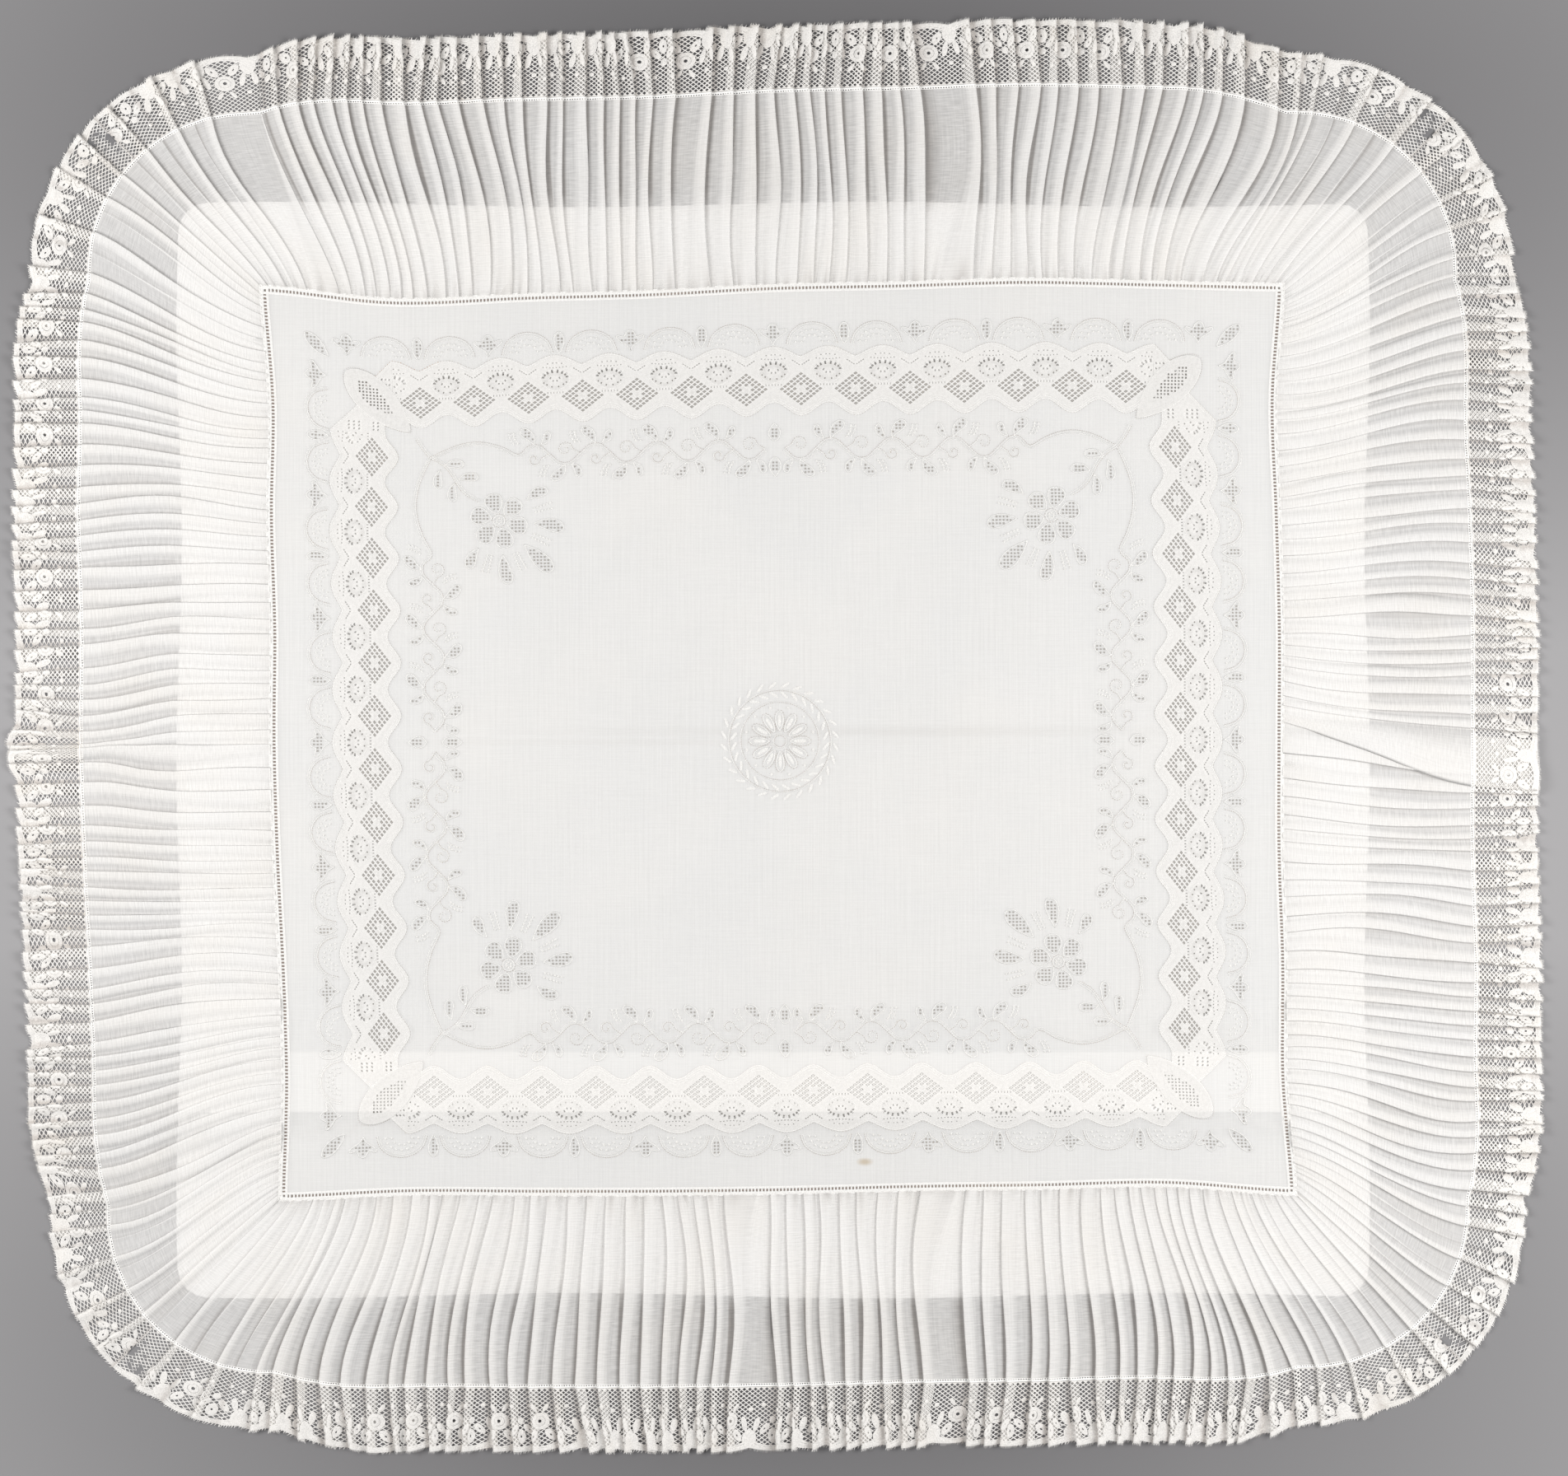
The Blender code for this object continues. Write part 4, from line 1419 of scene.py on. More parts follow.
    def build_petal(self, petal: Petal) -> bpy.types.Object:
        """One close-worked shape: a disc drawn to its outline, domed, with an eye if it has one.

        Args:
            petal: The shape.

        Returns:
            The flat object.
        """
        deselect_all()
        bpy.ops.mesh.primitive_circle_add(vertices=self.petal_points, radius=1.0, fill_type="NGON")
        shape = bpy.context.object
        bpy.ops.object.mode_set(mode="EDIT")
        bpy.ops.mesh.select_all(action="SELECT")
        bpy.ops.mesh.inset(thickness=0.34)
        if petal.eye:
            bpy.ops.mesh.inset(thickness=0.66 - petal.eye)
            bpy.ops.mesh.delete(type="FACE")
        else:
            bpy.ops.mesh.poke()
        bpy.ops.object.mode_set(mode="OBJECT")
        angle = math.radians(petal.turn)
        for vert in shape.data.vertices:
            x, y = vert.co.x, vert.co.y
            radius = math.hypot(x, y)
            y *= 1.0 - petal.point * x * abs(x)
            dome = 0.10 + 0.16 * (1.0 - abs(2.0 * radius - 1.2)) if petal.eye else 0.10 + 0.2 * (1.0 - radius)
            long, wide = 0.5 * petal.length * x, 0.5 * petal.width * y
            vert.co.x = petal.s + long * math.cos(angle) - wide * math.sin(angle)
            vert.co.y = petal.t + long * math.sin(angle) + wide * math.cos(angle)
            vert.co.z = max(dome, 0.08)
        return shape

    def build_sprigs(self, repeats: int) -> bpy.types.Object:
        """The sprig, modelled once and repeated along the lace."""
        sprig = join_pieces("sprigs", [self.build_petal(petal) for petal in SPRIG])
        repeat_along(sprig, repeats, self.repeat)
        for vert in sprig.data.vertices:
            vert.co.x = min(max(vert.co.x, 0.0), self.run.length)
        return sprig


# ---------------------------------------------------------------------------
# The backing cloth.
# ---------------------------------------------------------------------------


def counter_clockwise(outline: Sequence[Point]) -> Outline:
    """A closed outline's points in counter-clockwise order."""
    twice = sum(x0 * y1 - x1 * y0 for (x0, y0), (x1, y1) in zip(outline, [*outline[1:], outline[0]]))
    return list(outline) if twice > 0.0 else list(outline)[::-1]


def cut_cloth(name: str, outlines: Sequence[Outline], cells: float = 0.0) -> bpy.types.Object:
    """Cut a flat cloth to its outline and its holes.

    Args:
        name: The new object's name.
        outlines: The edge, then any holes, in millimetres.
        cells: Pitch of further cuts both ways, or 0 for none.

    Returns:
        The flat cloth, in millimetres.
    """
    places, loops = [], []
    for outline in outlines:
        loops.append(list(range(len(places), len(places) + len(outline))))
        places += [Vector(point) for point in counter_clockwise(outline)]
    verts, _, triangles, _, _, owners = delaunay_2d_cdt(places, [], loops, 1, 1e-5)
    mesh = bpy.data.meshes.new(name)
    kept = [triangle for triangle, owner in zip(triangles, owners) if owner == [0]]
    mesh.from_pydata([(*vert, 0.0) for vert in verts], [], kept)
    cloth = bpy.data.objects.new(name, mesh)
    bpy.context.scene.collection.objects.link(cloth)
    cuts = []
    for axis in (0, 1) if cells else ():
        lowest = min(point[axis] for point in outlines[0])
        highest = max(point[axis] for point in outlines[0])
        for index in range(1, int((highest - lowest) / cells) + 1):
            place, way = [0.0, 0.0, 0.0], [0.0, 0.0, 0.0]
            place[axis], way[axis] = lowest + index * cells, 1.0
            cuts.append((place, way))
    select_only(cloth)
    bpy.ops.object.mode_set(mode="EDIT")
    for place, way in cuts:
        bpy.ops.mesh.select_all(action="SELECT")
        bpy.ops.mesh.bisect(plane_co=place, plane_no=way, threshold=1e-4)
    bpy.ops.mesh.select_all(action="SELECT")
    bpy.ops.mesh.delete_loose()
    bpy.ops.object.mode_set(mode="OBJECT")
    return cloth


@dataclass
class Backing:
    """The two pieces of the backing cloth, the upper one lapped over the lower."""

    plan: Plan
    segments: int = 26
    height: float = 0.85
    cells: float = 22.0

    def outline(self) -> Outline:
        """The backing's edge: a rectangle with rounded corners and an uneven edge."""
        plan = self.plan
        radius = plan.back_corner
        corners = []
        for east, north, start in ((1, 1, 0.0), (0, 1, 0.5), (0, 0, 1.0), (1, 0, 1.5)):
            centre_x = plan.back_east - radius if east else plan.back_west + radius
            centre_y = plan.back_north - radius if north else plan.back_south + radius
            for step in range(5):
                angle = math.pi * (start + 0.125 * step)
                way = (math.cos(angle), math.sin(angle))
                corners.append(((centre_x + radius * way[0], centre_y + radius * way[1]), way))
        outline = []
        for index, ((x, y), way) in enumerate(corners):
            next_x, next_y = corners[(index + 1) % len(corners)][0]
            steps = self.segments if math.hypot(next_x - x, next_y - y) > 4.0 * radius else 1
            for step in range(steps):
                share = step / steps
                place_x = x + share * (next_x - x)
                place_y = y + share * (next_y - y)
                wander = plan.back_wander(place_x, place_y)
                outline.append((place_x + wander * way[0], place_y + wander * way[1]))
        return outline

    def find_shift(self) -> None:
        """Set the plan's shift, so that the backing's edge meets its solids' box."""
        outline = self.outline()
        low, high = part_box("back_upper")
        self.plan.shift = (
            0.5 * (low.x + high.x) / MM - 0.5 * (min(x for x, _ in outline) + max(x for x, _ in outline)),
            high.y / MM - max(y for _, y in outline),
        )
        LOG.info("shift of the plan: %.3f, %.3f mm", *self.plan.shift)

    def build(self) -> None:
        """Model and dress both pieces."""
        plan = self.plan
        outline = self.outline()
        crown = plan.lap_top + 2.25
        slope = (crown + plan.lap_rise, crown)
        lower = clip_outline(outline, plan.lap_top, False)
        upper = clip_outline(outline, plan.lap_bottom, True)
        for name, node, edge in (("backing_lower", "back_lower", lower), ("backing_upper", "back_upper", upper)):
            cloth = cut_cloth(name, (edge,), self.cells)
            for vert in cloth.data.vertices:
                x, y = vert.co.x, vert.co.y
                climb = min(max((slope[0] - y) / (slope[0] - slope[1]), 0.0), 1.0)
                base = plan.lift * climb if node == "back_upper" else 0.0
                wave = 0.12 * math.sin(x / 19.0) * math.sin(y / 23.0 + 1.0)
                vert.co = plan.to_frame(x, y, base + self.height + wave)
            cloth.data.update()
            finish_piece(cloth, MATERIALS["cotton"], [node])
            xs, ys = zip(*edge)
            flat = ((max(xs) - min(xs)) * MM, (max(ys) - min(ys)) * MM)


def clip_outline(outline: Outline, level: float, keep_above: bool) -> Outline:
    """Keep the part of a closed outline above or below a level of y.

    Args:
        outline: The closed outline.
        level: The laid y of the cut.
        keep_above: Whether the part above is kept.

    Returns:
        The kept outline.
    """
    kept = []
    for index, (x, y) in enumerate(outline):
        before_x, before_y = outline[index - 1]
        inside = (y > level) == keep_above
        was_inside = (before_y > level) == keep_above
        if inside != was_inside:
            share = (level - before_y) / (y - before_y)
            kept.append((before_x + share * (x - before_x), level))
        if inside:
            kept.append((x, y))
    return kept


# ---------------------------------------------------------------------------
# The panel: sheer lawn, a waved lace insertion, corner leaves and whitework.
# ---------------------------------------------------------------------------


class Copies(Enum):
    """How often a motif of one quarter comes on the panel, as signs of x and y."""

    FOUR = ((1, 1), (-1, 1), (1, -1), (-1, -1))
    ONE = ((1, 1),)
    TOP_AND_BOTTOM = ((1, 1), (1, -1))
    BOTH_SIDES = ((1, 1), (-1, 1))


@dataclass(frozen=True)
class Lobe:
    """A motif that swells along a curved spine, in millimetres out from the panel's middle.

    taper and head say how blunt the shape is at the spine's start and end: small is round.
    """

    spine: tuple[Point, ...]
    width: float
    taper: float = 1.2
    head: float = 0.45
    copies: Copies = Copies.FOUR
    outside: bool = False
    opened: bool = True


@dataclass(frozen=True)
class Stem:
    """A stitched line of the first quarter, single or double."""

    path: tuple[Point, ...]
    double: bool = False
    copies: Copies = Copies.FOUR


@dataclass(frozen=True)
class Beads:
    """A row of padded dots along a line of the first quarter."""

    path: tuple[Point, ...]
    count: int
    size: float = 0.74
    long: float = 1.25


@dataclass(frozen=True)
class Floret:
    """A three-lobed floret of the first quarter, from its point to its top."""

    point: Point
    top: Point
    width: float
    copies: Copies = Copies.FOUR


def smooth_path(points: Sequence[Point], spacing: float) -> Outline:
    """Draw a smooth line through points.

    Args:
        points: The points.
        spacing: About how far apart its new points are.

    Returns:
        The line's points.
    """
    path = []
    last = len(points) - 1
    for index in range(last):
        before = points[max(index - 1, 0)]
        start, end = points[index], points[index + 1]
        after = points[min(index + 2, last)]
        steps = max(int(math.dist(start, end) / spacing), 2)
        for step in range(steps):
            t = step / steps
            path.append(tuple(
                start[k] + 0.5 * t * (end[k] - before[k] + t * (
                    2.0 * before[k] - 5.0 * start[k] + 4.0 * end[k] - after[k]
                    + t * (3.0 * start[k] - before[k] - 3.0 * end[k] + after[k])))
                for k in (0, 1)
            ))
    path.append(points[last])
    return path


def path_lengths(path: Sequence[Point]) -> list[float]:
    """Length along a path up to each of its points."""
    lengths = [0.0]
    for start, end in zip(path, path[1:]):
        lengths.append(lengths[-1] + math.dist(start, end))
    return lengths


def along_path(path: Sequence[Point], lengths: Sequence[float], place: float) -> tuple[Point, Point]:
    """Find the point and the unit direction at a length along a path.

    Args:
        path: The path.
        lengths: Its lengths, from path_lengths().
        place: The length.

    Returns:
        The point and the direction.
    """
    index = min(max(bisect_right(lengths, place) - 1, 0), len(path) - 2)
    run = max(lengths[index + 1] - lengths[index], 1e-6)
    share = (place - lengths[index]) / run
    (x0, y0), (x1, y1) = path[index], path[index + 1]
    return (x0 + share * (x1 - x0), y0 + share * (y1 - y0)), ((x1 - x0) / run, (y1 - y0) / run)


def inside_outline(outline: Sequence[Point], x: float, y: float) -> bool:
    """Whether a point lies inside a closed outline."""
    inside = False
    before_x, before_y = outline[-1]
    for next_x, next_y in outline:
        if (next_y > y) != (before_y > y):
            if x < (before_x - next_x) * (y - next_y) / (before_y - next_y) + next_x:
                inside = not inside
        before_x, before_y = next_x, next_y
    return inside


def clip_side(outline: Outline, axis: int, sign: int) -> Outline:
    """Keep the part of a closed outline on one side of the middle.

    Args:
        outline: The closed outline.
        axis: 0 to cut along x = 0 and 1 to cut along y = 0.
        sign: The sign of the kept side.

    Returns:
        The kept outline.
    """
    kept = []
    for index, point in enumerate(outline):
        before = outline[index - 1]
        inside = point[axis] * sign > 0.0
        if inside != (before[axis] * sign > 0.0):
            share = before[axis] / (before[axis] - point[axis])
            crossing = [before[k] + share * (point[k] - before[k]) for k in (0, 1)]
            crossing[axis] = 0.0
            kept.append(tuple(crossing))
        if inside:
            kept.append(point)
    return kept


@dataclass
class WavedLace:
    """The insertion's two waved edges, by depth in from the panel's edge."""

    plan: Plan
    near: float = 19.3
    far: float = 22.6
    inner_near: float = 37.0
    inner_far: float = 41.4

    def outer_edge(self, side: Side, along: float) -> float:
        """Depth of the outer scalloped edge."""
        sizes = self.plan.sizes[side]
        worked = 0.5 * sizes.diamonds * sizes.pitch
        if abs(along) > worked:
            return self.near + abs(along) - worked
        return self.far - (self.far - self.near) * abs(math.cos(math.pi * along / sizes.pitch)) ** 1.25

    def inner_edge(self, side: Side, along: float) -> float:
        """Depth of the inner waved edge."""
        sizes = self.plan.sizes[side]
        if abs(along) > 0.5 * sizes.diamonds * sizes.pitch:
            return self.inner_near
        mean = 0.5 * (self.inner_near + self.inner_far)
        return mean - 0.5 * (self.inner_far - self.inner_near) * math.cos(2.0 * math.pi * along / sizes.pitch)

    def edge_line(self, side: Side, edge: Callable[[Side, float], float], offset: float) -> Outline:
        """Points of one side's edge up to its mitres, on the true rectangle.

        Args:
            side: The side.
            edge: outer_edge or inner_edge.
            offset: Added to the depth.

        Returns:
            The points, clockwise.
        """
        sizes = self.plan.sizes[side]
        steps = 4 * round(2.0 * sizes.half / 4.0)
        line = []
        for step in range(steps + 1):
            along = sizes.half * (2.0 * step / steps - 1.0)
            depth = edge(side, along) + offset
            if sizes.half - abs(along) >= depth:
                line.append(side.plan_point(along, sizes.reach - depth))
        return line

    def ring(self, edge: Callable[[Side, float], float], offset: float) -> Outline:
        """The closed line of all four sides."""
        return [point for side in Side for point in self.edge_line(side, edge, offset)]


@dataclass
class Needlework:
    """All that is stitched or drawn on the panel, in true-rectangle millimetres."""

    plan: Plan
    name: str
    weave_x: float = 1.16
    weave_y: float = 1.08
    opening_x: float = 0.64
    opening_y: float = 0.64
    pin_step: float = 0.74
    pin_size: float = 0.30
    level: float = 0.12
    cords: list[tuple[Outline, float]] = field(default_factory=list)
    pins: list[tuple[float, float, float, float, float]] = field(default_factory=list)
    pads: list[tuple[float, float, float, float, float]] = field(default_factory=list)
    shades: list[tuple[float, float, float, float, float]] = field(default_factory=list)
    openings: dict[tuple[int, int, bool], list[Outline]] = field(default_factory=dict)
    rng: random.Random = field(default_factory=lambda: random.Random(31))

    def lobe_outline(self, spine: Sequence[Point], width: float, taper: float, head: float) -> Outline:
        """Outline of a shape that swells along a spine.

        Args:
            spine: The spine's points.
            width: The greatest width.
            taper: How the start narrows.
            head: How the end narrows.

        Returns:
            The closed outline.
        """
        path = smooth_path(spine, 0.5)
        lengths = path_lengths(path)
        peak = taper / (taper + head)
        most = peak**taper * (1.0 - peak) ** head
        steps = max(round(lengths[-1] / 0.7), 11)
        left, right = [], []
        for step in range(steps + 1):
            share = 0.5 - 0.5 * math.cos(math.pi * step / steps)
            (x, y), (dx, dy) = along_path(path, lengths, share * lengths[-1])
            half = 0.5 * width * share**taper * (1.0 - share) ** head / most
            left.append((x - dy * half, y + dx * half))
            right.append((x + dy * half, y - dx * half))
        return left + right[-2:0:-1]

    def open_weave(self, outline: Outline, margin: float, scale: float = 1.0) -> list[Outline]:
        """Draw threads inside an outline, so that a grid of small holes is left.

        Args:
            outline: The closed outline, on the true rectangle.
            margin: Distance that the holes keep from it.
            scale: Pitch of the grid, against the usual one.

        Returns:
            The holes.
        """
        xs, ys = zip(*outline)
        holes = []
        pitch_x, pitch_y = self.weave_x * scale, self.weave_y * scale
        for column in range(math.floor(min(xs) / pitch_x), math.ceil(max(xs) / pitch_x)):
            for row in range(math.floor(min(ys) / pitch_y), math.ceil(max(ys) / pitch_y)):
                x = (column + 0.5) * pitch_x
                y = (row + 0.5) * pitch_y
                half_x = 0.5 * self.opening_x
                half_y = 0.5 * self.opening_y
                reach_x, reach_y = half_x + margin, half_y + margin
                corners = ((-1, -1), (1, -1), (1, 1), (-1, 1))
                if all(inside_outline(outline, x + i * reach_x, y + j * reach_y) for i, j in corners):
                    draw = self.rng.uniform
                    holes.append([
                        (x + i * half_x * draw(0.72, 1.15), y + j * half_y * draw(0.72, 1.15)) for i, j in corners
                    ])
        return holes

    def stitch(self, path: Outline, width: float, pins: float, closed: bool = False, grow: float = 1.0) -> None:
        """Lay a cord along a path, with needle holes beside it.

        Args:
            path: The path, on the true rectangle.
            width: The cord's width.
            pins: Distance of the needle holes to the path's left, or 0 for none.
            closed: Whether the path is closed.
            grow: Size and spacing of the needle holes, against the usual ones.
        """
        if closed:
            path = [*path, path[0]]
        self.cords.append((path, width))
        if not pins:
            return
        lengths = path_lengths(path)
        for step in range(int(lengths[-1] / self.pin_step / grow)):
            (x, y), (dx, dy) = along_path(path, lengths, (step + 0.5) * self.pin_step * grow)
            size = grow * self.rng.uniform(0.75, 1.25)
            self.pins.append((x - dy * pins, y + dx * pins, math.atan2(dy, dx), 1.15 * size, size))

    def mirrored(self, points: Outline, signs: tuple[int, int]) -> Outline:
        """Mirror a quarter's points, and keep their turning direction."""
        turned = [(x * signs[0], y * signs[1]) for x, y in points]
        return turned if signs[0] * signs[1] > 0 else turned[::-1]

    def add_lobe(self, lobe: Lobe) -> None:
        """Work a lobe in each of its quarters."""
        outline = self.lobe_outline(lobe.spine, lobe.width, lobe.taper, lobe.head)
        self.add_shape(outline, lobe.copies, lobe.outside, lobe.opened)

    def add_shape(self, outline: Outline, copies: Copies, outside: bool, opened: bool) -> None:
        """Outline a shape with cord and needle holes, and open its weave."""
        for signs in copies.value:
            copy = self.mirrored(outline, signs)
            for hole in self.open_weave(copy, 0.04) if opened else ():
                key = (1 if hole[0][0] > 0.0 else -1, 1 if hole[0][1] > 0.0 else -1, outside)
                self.openings.setdefault(key, []).append(hole)
                self.shades.append((0.5 * (hole[0][0] + hole[2][0]), 0.5 * (hole[0][1] + hole[2][1]), 0.0, 2.6, 2.6))
            area = sum(x0 * y1 - x1 * y0 for (x0, y0), (x1, y1) in zip(copy, copy[1:] + copy[:1]))
            self.stitch(copy, 0.46, 0.0 if opened else math.copysign(0.42, -area), closed=True)

    def add_floret(self, floret: Floret) -> None:
        """Work a three-lobed floret in each of its quarters."""
        point, top = floret.point, floret.top
        up = (top[0] - point[0], top[1] - point[1])
        across = (-up[1] * 0.5 * floret.width / math.hypot(*up), up[0] * 0.5 * floret.width / math.hypot(*up))
        half = ((0.0, 0.0), (0.22, 0.26), (0.62, 0.42), (1.0, 0.62), (0.9, 0.74), (0.44, 0.66), (0.3, 0.86), (0.0, 1.0))
        shares = [*half, *((-x, y) for x, y in half[-2:0:-1]), (0.0, 0.0)]
        points = [(point[0] + x * across[0] + y * up[0], point[1] + x * across[1] + y * up[1]) for x, y in shares]
        self.add_shape(smooth_path(points, 0.9)[:-1], floret.copies, True, True)

    def add_stem(self, stem: Stem) -> None:
        """Work a stitched line in each of its quarters."""
        path = smooth_path(stem.path, 1.4)
        for signs in stem.copies.value:
            copy = self.mirrored(path, signs)
            self.stitch(copy, 0.34, 0.30)
            if stem.double:
                lengths = path_lengths(copy)
                inner = []
                for place in lengths:
                    (x, y), (dx, dy) = along_path(copy, lengths, place)
                    inner.append((x + dy * 0.72, y - dx * 0.72))
                self.cords.append((inner, 0.3))

    def add_beads(self, beads: Beads) -> None:
        """Work a row of padded dots in each quarter."""
        path = smooth_path(beads.path, 0.5)
        lengths = path_lengths(path)
        for signs in Copies.FOUR.value:
            for index in range(beads.count):
                place = lengths[-1] * (index + 0.5) / beads.count
                (x, y), (dx, dy) = along_path(path, lengths, place)
                size = beads.size * self.rng.uniform(0.85, 1.12)
                turn = math.atan2(dy * signs[1], dx * signs[0]) + self.rng.uniform(-0.3, 0.3)
                self.pads.append((x * signs[0], y * signs[1], turn, size * beads.long, size))

    def laid_height(self, x: float, y: float, lift: float) -> Vector:
        """Frame point over the panel at a true-rectangle place."""
        laid_x, laid_y = self.plan.settle(x, y)
        return self.plan.to_frame(laid_x, laid_y, self.plan.panel_base(laid_y) + self.level + lift)

    def build_cords(self) -> bpy.types.Object:
        """Model every cord as a bevelled line of the same curve, made a mesh."""
        pieces = []
        for width in sorted({width for _, width in self.cords}):
            curve = bpy.data.curves.new("whitework_cord", "CURVE")
            curve.dimensions = "3D"
            curve.bevel_depth = 0.5 * width * MM
            curve.bevel_resolution = 0
            for path, _ in (entry for entry in self.cords if entry[1] == width):
                spline = curve.splines.new("POLY")
                spline.points.add(len(path) - 1)
                for point, (x, y) in zip(spline.points, path):
                    point.co = (*self.laid_height(x, y, 0.04), 1.0)
            piece = bpy.data.objects.new("whitework_cord", curve)
            bpy.context.scene.collection.objects.link(piece)
            select_only(piece)
            bpy.ops.object.convert(target="MESH")
            pieces.append(bpy.context.object)
        return join_pieces(self.name + "_cords", pieces)

    def build_pins(self) -> bpy.types.Object:
        """Model a needle hole once and stamp it beside every stitched line."""
        deselect_all()
        bpy.ops.mesh.primitive_circle_add(vertices=5, radius=0.5 * self.pin_size, fill_type="NGON")
        return self.stamp(self.name + "_needle_holes", bpy.context.object, self.pins, 0.03)

    def build_shades(self) -> bpy.types.Object:
        """Model the shade under an opening once and stamp it under every opening."""
        deselect_all()
        bpy.ops.mesh.primitive_circle_add(vertices=6, radius=0.5 * self.pin_size, fill_type="NGON")
        return self.stamp(self.name + "_openwork_shade", bpy.context.object, self.shades, -0.1)

    def build_pads(self) -> bpy.types.Object:
        """Model a padded satin dot once and stamp it at every dot's place."""
        deselect_all()
        bpy.ops.mesh.primitive_circle_add(vertices=8, radius=0.5, fill_type="NGON")
        pad = bpy.context.object
        bpy.ops.object.mode_set(mode="EDIT")
        bpy.ops.mesh.select_all(action="SELECT")
        bpy.ops.mesh.inset(thickness=0.16)
        bpy.ops.transform.translate(value=(0.0, 0.0, 0.26))
        bpy.ops.mesh.poke(offset=0.06)
        bpy.ops.object.mode_set(mode="OBJECT")
        return self.stamp(self.name + "_dots", pad, self.pads, 0.0)

    def stamp(
        self, name: str, template: bpy.types.Object, places: Sequence[Sequence[float]], lift: float
    ) -> bpy.types.Object:
        """Copy a small flat shape to many places of the panel.

        Args:
            name: Name of the joined copies.
            template: The shape, in millimetres.
            places: x, y, turn, length and width of each copy.
            lift: Height over the cloth.

        Returns:
            The joined copies.
        """
        shape = [vert.co.copy() for vert in template.data.vertices]
        polygons = [tuple(face.vertices) for face in template.data.polygons]
        verts, faces = [], []
        for x, y, turn, long, wide in places:
            first = len(verts)
            cos, sin = math.cos(turn), math.sin(turn)
            for point in shape:
                u, v = point.x * long, point.y * wide
                verts.append(self.laid_height(x + u * cos - v * sin, y + u * sin + v * cos, point.z + lift))
            faces += [tuple(index + first for index in polygon) for polygon in polygons]
        mesh = bpy.data.meshes.new(name)
        mesh.from_pydata(verts, [], faces)
        obj = bpy.data.objects.new(name, mesh)
        bpy.context.scene.collection.objects.link(obj)
        bpy.data.objects.remove(template)
        return obj


def quarter_point(plan: Plan, side: Side, along: float, depth: float) -> Point:
    """Point of the first quarter at a length from mid-side and a depth in from the panel's edge."""
    out = plan.sizes[side].reach - depth
    return (along, out) if side is Side.TOP else (out, along)


@dataclass(frozen=True)
class Festoons:
    """The border's plain repeat: double arcs over rows of dots, between florets and single leaves.

    corner is the length left free at each corner, and the two rooms are what an arc leaves
    for half a floret and half a leaf beside it.
    """

    plan: Plan
    arcs: int = 6
    corner: float = 25.8
    foot: float = 18.4
    crown: float = 11.4
    floret_room: float = 4.6
    leaf_room: float = 2.3
    leaf_width: float = 3.2
    floret_width: float = 9.0
    rows: tuple[tuple[float, int], ...] = ((0.68, 9), (0.44, 6))
    arc_steps: int = 6

    def work(self, white: Needlework) -> None:
        """Work the repeat along half of two sides and the leaf at their corner."""
        for side, copies in ((Side.TOP, Copies.TOP_AND_BOTTOM), (Side.RIGHT, Copies.BOTH_SIDES)):
            pitch = (self.plan.sizes[side].half - self.corner) / self.arcs
            rooms = (self.floret_room, self.leaf_room)
            for post in range(self.arcs + 1):
                foot = quarter_point(self.plan, side, post * pitch, self.foot)
                top = quarter_point(self.plan, side, post * pitch, self.crown)
                placed = copies if post == 0 else Copies.FOUR
                if post % 2:
                    white.add_lobe(Lobe((foot, top), self.leaf_width, 0.9, 0.6, placed, outside=True))
                else:
                    white.add_floret(Floret(foot, top, self.floret_width, placed))
            for index in range(self.arcs):
                start = index * pitch + rooms[index % 2]
                end = (index + 1) * pitch - rooms[(index + 1) % 2]
                white.add_stem(Stem(self.arc(side, start, end, 1.0), True))
                for share, count in self.rows:
                    white.add_beads(Beads(self.arc(side, start, end, share), count))
        tip = (self.plan.half_w - self.crown - 1.0, self.plan.half_h - self.crown - 1.0)
        heel = (self.plan.half_w - self.foot - 1.0, self.plan.half_h - self.foot - 1.0)
        white.add_lobe(Lobe((heel, tip), self.leaf_width + 0.6, 0.8, 0.6, outside=True))

    def arc(self, side: Side, start: float, end: float, share: float) -> tuple[Point, ...]:
        """Points of an arc, drawn in towards the middle of its feet.

        Args:
            side: The side that it stands on.
            start: Its first foot's length from mid-side.
            end: Its last foot's.
            share: Its size, against the whole arc's.

        Returns:
            The points.
        """
        middle, half = 0.5 * (start + end), 0.5 * share * (end - start)
        rise = share * (self.foot - self.crown)
        turns = [math.pi * step / self.arc_steps for step in range(self.arc_steps + 1)]
        return tuple(
            quarter_point(self.plan, side, middle - half * math.cos(turn), self.foot - rise * math.sin(turn))
            for turn in turns
        )


